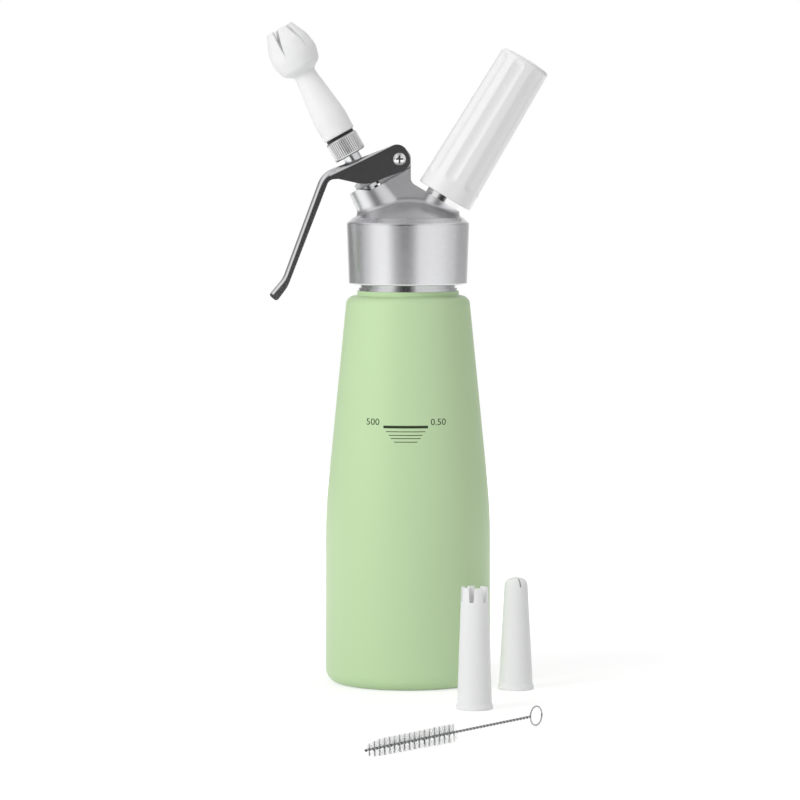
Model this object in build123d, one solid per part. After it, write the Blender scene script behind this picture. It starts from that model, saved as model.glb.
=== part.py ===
from build123d import *
import math
import os

# Whipped cream dispenser of half a litre, with its decorating nozzles and cleaning brush.
# Millimetres, +Z up, origin at the centre of the bottle's base. The dispensing valve
# leans towards -X, the gas charger towards +X, and -Y is the front.

# ---------------------------------------------------------------- clearances
FLAT_GAP = 0.05         # between faces of two moving pieces that rest on each other
RUN_GAP = 0.06          # radial, of a shaft that turns or slides in its hole
FREE_GAP = 0.35         # between moving pieces that only pass each other
THREAD_GAP = 0.08       # radial, of one thread in another
CUT_PAST = 1.0          # that a cutter reaches past the face it opens

# ---------------------------------------------------------------- bottle
BODY_R = 41.25          # cylindrical lower part
BASE_CORNER_R = 7.0
BASE_T = 2.5
WALL = 1.6
TAPER_Z = 86.6          # where cylinder and cone would meet without their blend
TAPER_BLEND_R = 300.0
SHOULDER_R = 30.6       # where cone and shoulder would meet
SHOULDER_Z = 194.3
SHOULDER_BLEND_R = 4.5
SHOULDER_T = 2.4
COLLAR_R = 25.4         # coated step round the foot of the neck
COLLAR_H = 2.4
COLLAR_ROUND_R = 0.8
COAT_EDGE_R = 0.3
RING_R = 24.7           # bare ring above the coat
RING_H = 1.5
NECK_R = 23.7           # over the thread
NECK_BORE_R = 20.9
NECK_H = 27.7           # from the shoulder to the mouth
MOUTH_ROUND_R = 0.8
MOUTH_FOOT_ROUND_R = 1.5

# ---------------------------------------------------------------- head gasket
GASKET_H = 2.4
GASKET_INSET = 0.3      # from the neck's outside and inside edges
GASKET_ROUND_R = 0.4

# ---------------------------------------------------------------- head casting
SKIRT_RISE = 5.7        # lower edge of the head above the bottle's shoulder
SKIRT_H = 33.4
SKIRT_FOOT_R = 29.5
SKIRT_TOP_R = 30.6
SKIRT_LIP_R = 0.7
SHOULDER_DROP = 2.9     # sloping shoulder between the skirt and the dome's foot
SHOULDER_IN = 3.6
SHOULDER_ROUND_R = 1.6
SHOULDER_TOP_ROUND_R = 1.0
DOME_R = 26.5           # foot of the dome
DOME_H = 8.2
CAVITY_R = 19.5         # room over the mouth
CAVITY_WALL_H = 4.5
CAVITY_DOME_H = 6.5
AXES_DROP = 19.7        # crossing of the valve's, the charger's and the bottle's axes, below the skirt's top

# ---------------------------------------------------------------- valve, along its own axis
VALVE_TILT = 29.5       # degrees from the vertical, towards -X
BOSS_R = 10.0           # at its end
BOSS_DRAFT = 6.0        # degrees that it widens by towards the head
BOSS_FOOT = 16.0        # inner end of the boss, along the axis
BOSS_END = 41.5         # outer end
INNER_BOSS_R = 9.0      # inside the head
POCKET_R = 7.6          # spring pocket
POCKET_FLOOR = 27.0
STEM_R = 4.5
STEM_BORE_R = 3.0
STEM_TOP = 66.0
INLET_R = 1.3           # cross holes above the seat
INLET_COUNT = 4
FOOT_R = 7.6            # mushroom foot
FOOT_T = 2.0
WASHER_T = 1.5
WASHER_R = 7.2
SEAL_AT = 22.5          # middle of the stem seal's groove
SEAL_GROOVE_R = 6.3
SEAL_H = 2.2
SEAL_ROUND_R = 0.6
COLLAR_TOP = 40.55      # face that the lever presses
COLLAR_T = 1.5
VALVE_COLLAR_R = 6.8
NUT_FLATS = 10.4
NUT_H = 3.7
NUT_CHAMFER = 0.5
SPRING_WIRE_R = 0.5
SPRING_COIL_R = 5.9
SPRING_TURNS = 4.5

# ---------------------------------------------------------------- lever, from its pivot
PIVOT_X = -4.2
PIVOT_RISE = 29.0       # above the skirt's top
LEVER_SLOPE = 21.0      # fall of the lever's back, degrees below the horizontal
LEVER_TRAVEL = 8.5      # squeeze, degrees
LEVER_GAP = 10.7        # between the side plates
SHEET_T = 1.6
BACK_H = 7.6            # lever's back above the pivot
PLATE_DROP = 6.2        # side plates' edge below the pivot
HEEL = 4.95             # side plates' end behind the pivot
BACK_L = 38.6           # pivot to the bend
TOE = 20.1              # where the side plates start to narrow
NECK_L = 32.0           # where they are narrow
NECK_EDGE = 1.7         # height of their edge there
BEND_INNER_L = 36.6
BEND_INNER_EDGE = 3.0
HANDLE_TURN = 48.6      # handle against the back, degrees
HANDLE_L = 56.3
TIP_L = 10.6
TIP_TURN = 20.0         # tip bent outwards, degrees
HANDLE_DEPTH = 3.8
TIP_DEPTH = 4.6
BEND_R = 12.2
TIP_BEND_R = 12.0
HEEL_ROUND_R = 5.6
TOE_ROUND_R = 14.0
EDGE_ROUND_R = 4.0
TIP_ROUND_R = 1.6
STEM_SLOT_W = 10.0
STEM_SLOT_EXTRA = 1.0   # slot's length past a round hole, at each end

# ---------------------------------------------------------------- ear and its web
EAR_T = 10.0
EAR_R = 5.6
WEB_T = 16.0            # thick web between the two bosses
WEB_HEEL_ROUND_R = 4.0  # where the ear's back runs out on the web
EAR_NOSE = 8.0          # ear's edge from the valve's axis
EAR_FALL = 32.0         # fall of the ear's top edge, degrees
BOSS_BLEND_R = 6.0      # cast blend between the web and the round bosses
DOME_BLEND_R = 3.0      # cast blend round the foot of bosses and web, on the dome
AXLE_R = 2.25           # pivot sleeve
AXLE_HEAD_R = 3.4
AXLE_HEAD_T = 1.2
SCREW_R = 1.5
SCREW_HEAD_R = 3.15
SCREW_HEAD_T = 1.7
SCREW_SLOT_W = 0.8
SCREW_SLOT_L = 3.6
SCREW_SLOT_D = 0.9

# ---------------------------------------------------------------- nozzle adapter
ADAPTER_FOOT = 58.1     # along the valve's axis
ADAPTER_H = 10.2
ADAPTER_R = 8.3
ADAPTER_EDGE = 0.8
SPIGOT_R = 6.2
SPIGOT_H = 9.2
ADAPTER_SEAL_R = 7.4
ADAPTER_SEAL_H = 1.2
ADAPTER_SEAL_ROUND_R = 0.4

# ---------------------------------------------------------------- tulip nozzle, from its foot
TULIP_FOOT_R = 8.3
TULIP_FOOT_ROUND_R = 0.8
TULIP_BELLY_R = 8.6
TULIP_BELLY_H = 10.0
TULIP_BELLY_ROUND_R = 30.0
TULIP_NECK_R = 5.4
TULIP_NECK_H = 35.4
TULIP_NECK_ROUND_R = 2.0
BULB_FOOT_R = 10.2
BULB_FOOT_H = 38.5
BULB_FOOT_ROUND_R = 4.0
BULB_R = 12.1
BULB_H = 45.3
BULB_ROUND_R = 9.0
BULB_SHOULDER_R = 10.9
BULB_SHOULDER_H = 52.5
BULB_SHOULDER_ROUND_R = 12.0
BULB_TIP_R = 7.1
TULIP_H = 60.7
TULIP_SOCKET_D = 8.6
TULIP_WALL = 1.9
PETALS = 6
PETAL_SLOT_FOOT_H = 46.6
PETAL_SLOT_W = 3.4      # at the rim
PETAL_SLOT_TURN = -20.0

# ---------------------------------------------------------------- charger port and holder
PORT_TILT = 31.0        # degrees from the vertical, towards +X
PORT_BOSS_R = 10.5
PORT_FOOT = 21.5        # inner end of the port's boss, along its axis
PORT_END = 32.5
PORT_INNER_R = 8.0
PORT_SCREW_R = 6.0      # thread in the casting
PORT_NECK_R = 9.15
PORT_NECK_H = 3.4
PORT_THREAD_R = 10.2
PORT_THREAD_H = 10.6
PORT_CHAMFER = 0.8
CHARGER_SEAT_R = 4.75
CHARGER_SEAT = 36.0     # floor of the seat, along the axis
PORT_SEAL_T = 2.0
PORT_SEAL_ROUND_R = 0.3
PIN_R = 2.6
PIN_TIP_R = 1.2
PIN_POINT_R = 0.7
PIN_FOOT = 30.0
PIN_TIP = 41.2
GAS_BORE_R = 0.6
GAS_WAY_R = 1.5
VALVE_STUB_R = 3.0
VALVE_STUB_L = 2.8
VALVE_SLEEVE_T = 1.0
VALVE_CAP_R = 5.6
VALVE_CAP_WALL = 0.9
VALVE_CAP_L = 4.4

CHARGER_R = 9.0
CHARGER_L = 65.0
CHARGER_NECK_R = 4.4
CHARGER_NECK_L = 8.6
CHARGER_SHOULDER_L = 6.0
CHARGER_MOUTH_ROUND_R = 0.5
CHARGER_NECK_ROUND_R = 2.5
CHARGER_SHOULDER_ROUND_R = 5.0
CHARGER_END_ROUND_R = 7.2
CHARGER_CAP_R = 3.3
CHARGER_CAP_D = 1.2
CHARGER_CAP_T = 0.5
CHARGER_BORE_R = 2.0
CHARGER_WALL = 1.5

HOLDER_FOOT = 35.35     # along the port's axis
HOLDER_L = 79.7
HOLDER_FOOT_R = 14.6
HOLDER_TOP_R = 13.2
HOLDER_DOME_H = 1.2
HOLDER_EDGE_R = 2.0
HOLDER_FOOT_ROUND_R = 0.6
HOLDER_ROOM_R = 9.4
HOLDER_HOLLOW_R = 6.0
HOLDER_TOP_T = 3.0
FLUTES = 8
FLUTE_W = 6.3
FLUTE_D = 0.95
FLUTE_FOOT = 7.5        # from the holder's foot
FLUTE_TOP = 77.0
FLUTE_TURN = -9.0
INSERT_WALL = 1.6
INSERT_INSET = 0.3

# ---------------------------------------------------------------- spare nozzles
SPARE_FOOT_R = 8.9
SPARE_FOOT_H = 3.0
SPARE_FOOT_ROUND_R = 0.4
SPARE_RIM_ROUND_R = 1.0
SPARE_RIM_R = 8.3
SPARE_SOCKET_D = 10.0
SPARE_WALL = 1.4
STAR_H = 58.5
STAR_TOP_R = 6.4
STAR_TEETH = 6
STAR_SLOT_W = 3.2       # at the top
STAR_SLOT_FOOT_W = 2.2
STAR_SLOT_D = 7.0
STAR_SLOT_ROUND_R = 0.6
STAR_SLOT_TURN = -15.0
STAR_X = 31.7
STAR_Y = -98.0
SLIT_H = 55.6
SLIT_TOP_R = 5.6
SLIT_TOP_ROUND_R = 4.2
SLIT_W = 0.8
SLIT_L = 8.4
SLIT_D = 4.4
SLIT_TURN = 111.0
SLIT_X = 53.5
SLIT_Y = -28.0

# ---------------------------------------------------------------- cleaning brush
BRUSH_L = 125.0         # from the ring's middle to the tip
BRUSH_TURN = 231.1      # heading from the ring to the tip, degrees from +X
RING_MEAN_R = 4.4
RING_WIRE_R = 0.55
TWIST_R = 1.0
BRISTLE_R = 4.2
BRISTLE_L = 62.0
BRISTLE_TIP_R = 2.6
BRISTLE_TAPER_L = 9.0
BRISTLE_TIP_GAP = 1.2
BRISTLE_EDGE_R = 0.6
BRISTLE_TAPER_ROUND_R = 3.0
BRUSH_X = 59.2
BRUSH_Y = -156.0

# ---------------------------------------------------------------- worked out from the above
NECK_TOP_Z = SHOULDER_Z + NECK_H
GASKET_TOP_Z = NECK_TOP_Z + GASKET_H
SKIRT_Z = SHOULDER_Z + SKIRT_RISE
HEAD_SHOULDER_Z = SKIRT_Z + SKIRT_H
AXES_Z = HEAD_SHOULDER_Z - AXES_DROP
PIVOT_Z = HEAD_SHOULDER_Z + PIVOT_RISE
HEAD_BORE_R = NECK_R + FREE_GAP
CAVITY_SIDE_Z = GASKET_TOP_Z + CAVITY_WALL_H
ADAPTER_TOP = ADAPTER_FOOT + ADAPTER_H
TULIP_FOOT = ADAPTER_TOP + ADAPTER_SEAL_H
PORT_THREAD_FOOT = PORT_END + PORT_NECK_H
PORT_TOP = PORT_THREAD_FOOT + PORT_THREAD_H
SEAL_TOP = CHARGER_SEAT + PORT_SEAL_T
CHARGER_TIP = SEAL_TOP + FLAT_GAP
CHARGER_END = CHARGER_TIP + CHARGER_L
INSERT_R = PORT_THREAD_R + THREAD_GAP + INSERT_WALL
FACE_OUT = LEVER_GAP / 2 + SHEET_T


def leaning(tilt):
    """Plane through the axes' crossing with its normal leaning from +Z towards +X."""
    lean = math.radians(tilt)
    across = (math.cos(lean), 0, -math.sin(lean))
    along = (math.sin(lean), 0, math.cos(lean))
    return Plane(origin=(0, 0, AXES_Z), x_dir=across, z_dir=along)


VALVE = leaning(-VALVE_TILT)
PORT = leaning(PORT_TILT)


def lathe(points, radii):
    """Solid turned about Z from a closed outline of (radius, height) corners and their roundings."""
    outline = FilletPolyline(*points, radius=radii, close=True)
    return revolve(Plane.XZ * make_face(outline), Axis.Z)


def rod(radius, low, high):
    """Cylinder about Z between two heights."""
    return Pos(0, 0, low) * extrude(Circle(radius), high - low)


def tube(outer, inner, low, high):
    """Straight ring about Z between two heights."""
    return rod(outer, low, high) - rod(inner, low, high)


def flat_xz(points, radii, thickness):
    """Plate of an XZ outline, centred on the plane y = 0."""
    outline = FilletPolyline(*points, radius=radii, close=True)
    return extrude(Plane.XZ * make_face(outline), thickness / 2, both=True)


# ---------------------------------------------------------------- lever geometry
def lever_point(reach, rise, turned=0.0):
    """XZ point in the lever's frame: reach along its back, rise square to it, both from the pivot."""
    fall = math.radians(LEVER_SLOPE + turned)
    x = PIVOT_X - reach * math.cos(fall) - rise * math.sin(fall)
    z = PIVOT_Z - reach * math.sin(fall) + rise * math.cos(fall)
    return (x, z)


def polar(start, heading, length):
    """Point at a length from the start, the heading counted downwards from the lever's back."""
    fall = math.radians(heading)
    return (start[0] + length * math.cos(fall), start[1] - length * math.sin(fall))


BEND = (BACK_L, BACK_H)
HANDLE_END = polar(BEND, HANDLE_TURN, HANDLE_L)
TIP = polar(HANDLE_END, HANDLE_TURN - TIP_TURN, TIP_L)
HANDLE_END_INNER = polar(HANDLE_END, HANDLE_TURN - TIP_TURN / 2 + 90, HANDLE_DEPTH)
TIP_INNER = polar(TIP, HANDLE_TURN - TIP_TURN + 90, TIP_DEPTH)


def lever_sides():
    """Corners and roundings of the lever's side, back and handle in one outline."""
    corners = [
        ((-HEEL, BACK_H), HEEL_ROUND_R),
        (BEND, BEND_R),
        (HANDLE_END, TIP_BEND_R),
        (TIP, TIP_ROUND_R),
        (TIP_INNER, TIP_ROUND_R),
        (HANDLE_END_INNER, TIP_BEND_R),
        ((BEND_INNER_L, BEND_INNER_EDGE), EDGE_ROUND_R),
        ((NECK_L, NECK_EDGE), EDGE_ROUND_R),
        ((TOE, -PLATE_DROP), TOE_ROUND_R),
        ((-HEEL, -PLATE_DROP), HEEL_ROUND_R),
    ]
    return [lever_point(*point) for point, _ in corners], [radius for _, radius in corners]


def lever_hollow():
    """Corners and roundings of the room under the lever's back, between its side plates."""
    half_bend = math.tan(math.radians(HANDLE_TURN / 2)) * SHEET_T
    half_tip = math.tan(math.radians(TIP_TURN / 2)) * SHEET_T
    bend = (BACK_L - half_bend, BACK_H - SHEET_T)
    elbow = polar(bend, HANDLE_TURN, HANDLE_L - half_bend + half_tip)
    heading = HANDLE_TURN - TIP_TURN
    tip = polar(elbow, heading, TIP_L - SHEET_T)
    below_tip = polar(tip, heading + 90, 2 * TIP_DEPTH)
    below_elbow = polar(elbow, HANDLE_TURN + 90, 2 * HANDLE_DEPTH)
    corners = [
        ((-2 * HEEL, BACK_H - SHEET_T), 0),
        (bend, BEND_R - SHEET_T),
        (elbow, TIP_BEND_R),
        (tip, 0),
        (below_tip, 0),
        (below_elbow, 0),
        ((NECK_L, -PLATE_DROP), 0),
        ((TOE, -2 * PLATE_DROP), 0),
        ((-2 * HEEL, -2 * PLATE_DROP), 0),
    ]
    return [lever_point(*point) for point, _ in corners], [radius for _, radius in corners]


def lever():
    """Stamped lever: two side plates under a back that bends into the channel of the handle."""
    blank = flat_xz(*lever_sides(), 2 * FACE_OUT)
    room = flat_xz(*lever_hollow(), LEVER_GAP)
    slot_length = STEM_SLOT_W + 2 * STEM_SLOT_EXTRA
    slot = extrude(SlotOverall(slot_length, STEM_SLOT_W), SHEET_T * 6, both=True)
    slot_at = VALVE.location * Pos(0, 0, stem_crossing())
    hole = Pos(PIVOT_X, 0, PIVOT_Z) * Rot(90, 0, 0) * extrude(Circle(AXLE_R), 2 * FACE_OUT, both=True)
    return blank - room - slot_at * slot - hole


def pivot_in_valve():
    """Pivot's place in the valve's frame, across and along the valve's axis."""
    local = VALVE.to_local_coords(Vector(PIVOT_X, 0, PIVOT_Z))
    return local.X, local.Z


def stem_crossing():
    """Distance along the valve's axis at which it passes through the lever's back."""
    across, along = pivot_in_valve()
    lean = math.radians(VALVE_TILT - LEVER_SLOPE)
    back = BACK_H - SHEET_T / 2
    return along + back / math.cos(lean) + across * math.tan(lean)


# ---------------------------------------------------------------- bottle and gasket
def bottle():
    """Seamless bottle with a long taper, a rounded shoulder and a threaded neck."""
    outside = lathe(
        [
            (0, 0),
            (BODY_R, 0),
            (BODY_R, TAPER_Z),
            (SHOULDER_R, SHOULDER_Z),
            (COLLAR_R, SHOULDER_Z),
            (COLLAR_R, SHOULDER_Z + COLLAR_H),
            (RING_R, SHOULDER_Z + COLLAR_H),
            (RING_R, SHOULDER_Z + COLLAR_H + RING_H),
            (NECK_R, SHOULDER_Z + COLLAR_H + RING_H),
            (NECK_R, NECK_TOP_Z),
            (0, NECK_TOP_Z),
        ],
        [
            0,
            BASE_CORNER_R,
            TAPER_BLEND_R,
            SHOULDER_BLEND_R,
            COLLAR_ROUND_R,
            COAT_EDGE_R,
            0,
            0,
            0,
            MOUTH_ROUND_R,
            0,
        ],
    )
    floor_z = SHOULDER_Z - SHOULDER_T
    inside = lathe(
        [
            (0, BASE_T),
            (BODY_R - WALL, BASE_T),
            (BODY_R - WALL, TAPER_Z),
            (SHOULDER_R - WALL, floor_z),
            (NECK_BORE_R, floor_z),
            (NECK_BORE_R, NECK_TOP_Z + CUT_PAST),
            (0, NECK_TOP_Z + CUT_PAST),
        ],
        [0, BASE_CORNER_R - WALL, TAPER_BLEND_R, SHOULDER_BLEND_R - WALL, MOUTH_FOOT_ROUND_R, 0, 0],
    )
    return outside - inside


def head_gasket():
    """Flat gasket on the bottle's mouth."""
    outer = NECK_R - GASKET_INSET
    inner = NECK_BORE_R + GASKET_INSET
    low = NECK_TOP_Z
    corners = [(inner, low), (outer, low), (outer, low + GASKET_H), (inner, low + GASKET_H)]
    return lathe(corners, [GASKET_ROUND_R] * 4)


# ---------------------------------------------------------------- head casting
def dome(foot_r, foot_z, height):
    """Low dome on a flat foot."""
    sphere_r = (foot_r**2 + height**2) / (2 * height)
    ball = Pos(0, 0, foot_z + height - sphere_r) * Sphere(sphere_r)
    return ball & rod(foot_r + CUT_PAST, foot_z, foot_z + height + CUT_PAST)


def ear_and_web():
    """Thick web between the two bosses, and the ear on it that carries the lever."""
    across, along = pivot_in_valve()
    fall = math.radians(EAR_FALL)
    top = (PIVOT_X - EAR_R * math.sin(fall), PIVOT_Z + EAR_R * math.cos(fall))
    run = (across - EAR_NOSE) / math.cos(math.radians(EAR_FALL - VALVE_TILT))
    nose = (top[0] - run * math.cos(fall), top[1] - run * math.sin(fall))
    back_x = PIVOT_X + EAR_R
    port_lean = math.radians(PORT_TILT)
    port_end = (PORT_END * math.sin(port_lean), AXES_Z + PORT_END * math.cos(port_lean))
    heel = (back_x, port_end[1] + (port_end[0] - back_x) * math.tan(port_lean))
    low_z = GASKET_TOP_Z + CAVITY_WALL_H
    boss_lean = math.radians(VALVE_TILT)
    boss_end = (-BOSS_END * math.sin(boss_lean), AXES_Z + BOSS_END * math.cos(boss_lean))
    boss_low = (-(low_z - AXES_Z) * math.tan(boss_lean), low_z)
    port_low = ((low_z - AXES_Z) * math.tan(port_lean), low_z)
    ear_corners = [nose, top, (PIVOT_X, PIVOT_Z), (back_x, PIVOT_Z), heel, port_low, boss_low]
    web_corners = [boss_end, (PIVOT_X, PIVOT_Z), (back_x, PIVOT_Z), heel, port_end, port_low, boss_low]
    ear = flat_xz(ear_corners, [0] * len(ear_corners), EAR_T)
    eye = Pos(PIVOT_X, 0, PIVOT_Z) * Rot(90, 0, 0) * extrude(Circle(EAR_R), EAR_T / 2, both=True)
    web = flat_xz(web_corners, [0, 0, 0, WEB_HEEL_ROUND_R, 0, 0, 0], WEB_T)
    return ear + eye + web


def lever_path():
    """Room that the lever's side plates need beside the ear, from rest to full squeeze."""
    low = -PLATE_DROP - FREE_GAP
    corners = [
        (-4 * HEEL, low),
        (TOE, low),
        (NECK_L, NECK_EDGE - FREE_GAP),
        (BACK_L, NECK_EDGE),
        (BACK_L, 3 * BACK_H),
        (-4 * HEEL, 3 * BACK_H),
    ]
    points = [lever_point(*corner, turned=LEVER_TRAVEL) for corner in corners]
    path = flat_xz(points, [0] * len(points), 2 * BODY_R)
    return path - flat_xz(points, [0] * len(points), EAR_T)


def on_dome(point):
    """Whether a point lies on the dome's surface."""
    sphere_r = (DOME_R**2 + DOME_H**2) / (2 * DOME_H)
    reach = math.hypot(point.X, point.Y)
    if reach > DOME_R - DOME_BLEND_R / 10:
        return False
    surface_z = HEAD_SHOULDER_Z + DOME_H - sphere_r + math.sqrt(sphere_r**2 - reach**2)
    return abs(point.Z - surface_z) < DOME_BLEND_R / 30


def climbs_from_dome(edge):
    """Whether an edge of the head goes up from the dome on one of the web's two faces."""
    on_web = abs(abs((edge @ 0.5).Y) - WEB_T / 2) < DOME_BLEND_R / 30
    return on_web and on_dome(edge @ 0) != on_dome(edge @ 1)


def runs_on_dome(edge):
    """Whether an edge of the head lies where something stands on the dome."""
    return on_dome(edge @ 0.5)


def head_outside():
    """Outside of the head as cast, with its blends."""
    body = lathe(
        [
            (0, SKIRT_Z),
            (SKIRT_FOOT_R, SKIRT_Z),
            (SKIRT_TOP_R, HEAD_SHOULDER_Z - SHOULDER_DROP),
            (SKIRT_TOP_R - SHOULDER_IN, HEAD_SHOULDER_Z),
            (0, HEAD_SHOULDER_Z),
        ],
        [0, SKIRT_LIP_R, SHOULDER_ROUND_R, SHOULDER_TOP_ROUND_R, 0],
    )
    body += dome(DOME_R, HEAD_SHOULDER_Z, DOME_H)
    boss_foot_r = BOSS_R + (BOSS_END - BOSS_FOOT) * math.tan(math.radians(BOSS_DRAFT))
    boss = [(0, BOSS_FOOT), (boss_foot_r, BOSS_FOOT), (BOSS_R, BOSS_END), (0, BOSS_END)]
    body += VALVE.location * lathe(boss, [0] * len(boss))
    body += PORT.location * rod(PORT_BOSS_R, PORT_FOOT, PORT_END)
    body += ear_and_web()
    body = fillet(body.edges().filter_by(climbs_from_dome), BOSS_BLEND_R)
    return fillet(body.edges().filter_by(runs_on_dome), DOME_BLEND_R)


def head_casting():
    """Cast head: skirt with the neck's thread, dome, two leaning bosses, web and ear."""
    room = rod(HEAD_BORE_R, SKIRT_Z - CUT_PAST, GASKET_TOP_Z)
    room += rod(CAVITY_R, GASKET_TOP_Z - CUT_PAST, CAVITY_SIDE_Z)
    room += dome(CAVITY_R, CAVITY_SIDE_Z, CAVITY_DOME_H)
    inner_bosses = VALVE.location * rod(INNER_BOSS_R, BOSS_FOOT, POCKET_FLOOR)
    inner_bosses += PORT.location * rod(PORT_INNER_R, PORT_FOOT, PORT_END - CUT_PAST)
    body = head_outside() - (room - inner_bosses) - lever_path()
    valve_bores = rod(POCKET_R, POCKET_FLOOR, BOSS_END + POCKET_R)
    valve_bores += rod(STEM_R + RUN_GAP, BOSS_FOOT - CUT_PAST, BOSS_END)
    valve_bores += rod(SEAL_GROOVE_R, SEAL_AT - SEAL_H / 2, SEAL_AT + SEAL_H / 2)
    body -= VALVE.location * valve_bores
    body -= PORT.location * rod(PORT_SCREW_R, PORT_FOOT - CUT_PAST, PORT_END + CUT_PAST)
    eye = extrude(Circle(AXLE_R + RUN_GAP), EAR_T, both=True)
    return body - Pos(PIVOT_X, 0, PIVOT_Z) * Rot(90, 0, 0) * eye


# ---------------------------------------------------------------- valve
def valve_stem():
    """Hollow stem with a mushroom foot, open to the cream through cross holes above the seat."""
    seat = BOSS_FOOT - WASHER_T
    stem = rod(STEM_R, seat - FOOT_T, STEM_TOP) + rod(FOOT_R, seat - FOOT_T, seat)
    stem -= rod(STEM_BORE_R, BOSS_FOOT, STEM_TOP + CUT_PAST)
    hole = Pos(0, 0, BOSS_FOOT + INLET_R) * Rot(90, 0, 0) * extrude(Circle(INLET_R), 2 * STEM_R)
    for turn in range(INLET_COUNT):
        stem -= Rot(0, 0, 45 + turn * 360 / INLET_COUNT) * hole
    return VALVE.location * stem


def valve_washer():
    """Soft washer on the mushroom foot that closes against the boss."""
    return VALVE.location * tube(WASHER_R, STEM_R, BOSS_FOOT - WASHER_T, BOSS_FOOT - FLAT_GAP)


def stem_seal():
    """Ring seal round the stem, in its groove in the boss."""
    inner = STEM_R + RUN_GAP
    low = SEAL_AT - SEAL_H / 2
    corners = [(inner, low), (SEAL_GROOVE_R, low), (SEAL_GROOVE_R, low + SEAL_H), (inner, low + SEAL_H)]
    return VALVE.location * lathe(corners, [SEAL_ROUND_R] * 4)


def valve_collar():
    """Collar on the stem that the lever presses and the spring lifts."""
    return VALVE.location * tube(VALVE_COLLAR_R, STEM_R, COLLAR_TOP - COLLAR_T, COLLAR_TOP)


def stem_nut():
    """Six-sided nut that holds the collar, between the lever's side plates."""
    corner_r = NUT_FLATS / math.sqrt(3)
    nut = Pos(0, 0, COLLAR_TOP) * extrude(RegularPolygon(corner_r, 6), NUT_H)
    reach = corner_r + NUT_CHAMFER
    corners = [
        (0, COLLAR_TOP),
        (reach, COLLAR_TOP),
        (reach, COLLAR_TOP + NUT_H - 2 * NUT_CHAMFER),
        (corner_r - NUT_CHAMFER, COLLAR_TOP + NUT_H),
        (0, COLLAR_TOP + NUT_H),
    ]
    crown = lathe(corners, [0] * len(corners))
    return VALVE.location * ((nut & crown) - rod(STEM_R, COLLAR_TOP, COLLAR_TOP + NUT_H + CUT_PAST))


def valve_spring():
    """Coil spring between the pocket's floor and the collar."""
    low = POCKET_FLOOR + SPRING_WIRE_R
    high = COLLAR_TOP - COLLAR_T - SPRING_WIRE_R - FLAT_GAP
    path = Helix(pitch=(high - low) / SPRING_TURNS, height=high - low, radius=SPRING_COIL_R)
    section = Plane(origin=path @ 0, z_dir=path % 0) * Circle(SPRING_WIRE_R)
    return VALVE.location * Pos(0, 0, low) * sweep(section, path=path)


def pivot_sleeve():
    """Barrel nut through the lever and the ear, with its flat head at the back."""
    barrel = rod(AXLE_R, -FACE_OUT, FACE_OUT) + rod(AXLE_HEAD_R, -FACE_OUT - AXLE_HEAD_T, -FACE_OUT)
    barrel -= rod(SCREW_R, -EAR_T / 2, FACE_OUT + CUT_PAST)
    return Pos(PIVOT_X, 0, PIVOT_Z) * Rot(90, 0, 0) * barrel


def pivot_screw():
    """Domed cross-slotted screw in the front of the barrel nut."""
    shank = rod(SCREW_R, -EAR_T / 2, FACE_OUT)
    head = dome(SCREW_HEAD_R, FACE_OUT, SCREW_HEAD_T)
    cross_z = FACE_OUT + SCREW_HEAD_T
    cross = Box(SCREW_SLOT_L, SCREW_SLOT_W, 2 * SCREW_SLOT_D)
    cross += Box(SCREW_SLOT_W, SCREW_SLOT_L, 2 * SCREW_SLOT_D)
    screw = shank + head - Pos(0, 0, cross_z) * cross
    return Pos(PIVOT_X, 0, PIVOT_Z) * Rot(90, 0, 0) * screw


# ---------------------------------------------------------------- nozzle adapter and tulip nozzle
def adapter_ring():
    """Adapter on the stem's end, with the spigot that the nozzles screw on."""
    ring = chamfer(rod(ADAPTER_R, ADAPTER_FOOT, ADAPTER_TOP).edges(), ADAPTER_EDGE)
    ring += rod(SPIGOT_R, ADAPTER_TOP, ADAPTER_TOP + SPIGOT_H)
    ring -= rod(STEM_R, ADAPTER_FOOT - CUT_PAST, STEM_TOP)
    ring -= rod(STEM_BORE_R, STEM_TOP - CUT_PAST, ADAPTER_TOP + SPIGOT_H + CUT_PAST)
    return VALVE.location * ring


def adapter_seal():
    """Ring seal between the adapter and a nozzle."""
    inner = SPIGOT_R + THREAD_GAP
    corners = [
        (inner, ADAPTER_TOP),
        (ADAPTER_SEAL_R, ADAPTER_TOP),
        (ADAPTER_SEAL_R, TULIP_FOOT),
        (inner, TULIP_FOOT),
    ]
    return VALVE.location * lathe(corners, [ADAPTER_SEAL_ROUND_R] * 4)


def tulip_outline(wall):
    """Corners and roundings of the tulip's body, drawn in by a wall."""
    corners = [
        ((TULIP_BELLY_R - wall, TULIP_BELLY_H), TULIP_BELLY_ROUND_R),
        ((TULIP_NECK_R - wall, TULIP_NECK_H), TULIP_NECK_ROUND_R),
        ((BULB_FOOT_R - wall, BULB_FOOT_H + wall / 2), BULB_FOOT_ROUND_R),
        ((BULB_R - wall, BULB_H), BULB_ROUND_R),
        ((BULB_SHOULDER_R - wall, BULB_SHOULDER_H), BULB_SHOULDER_ROUND_R),
        ((BULB_TIP_R - wall, TULIP_H), 0.0),
    ]
    return [point for point, _ in corners], [radius for _, radius in corners]


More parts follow.
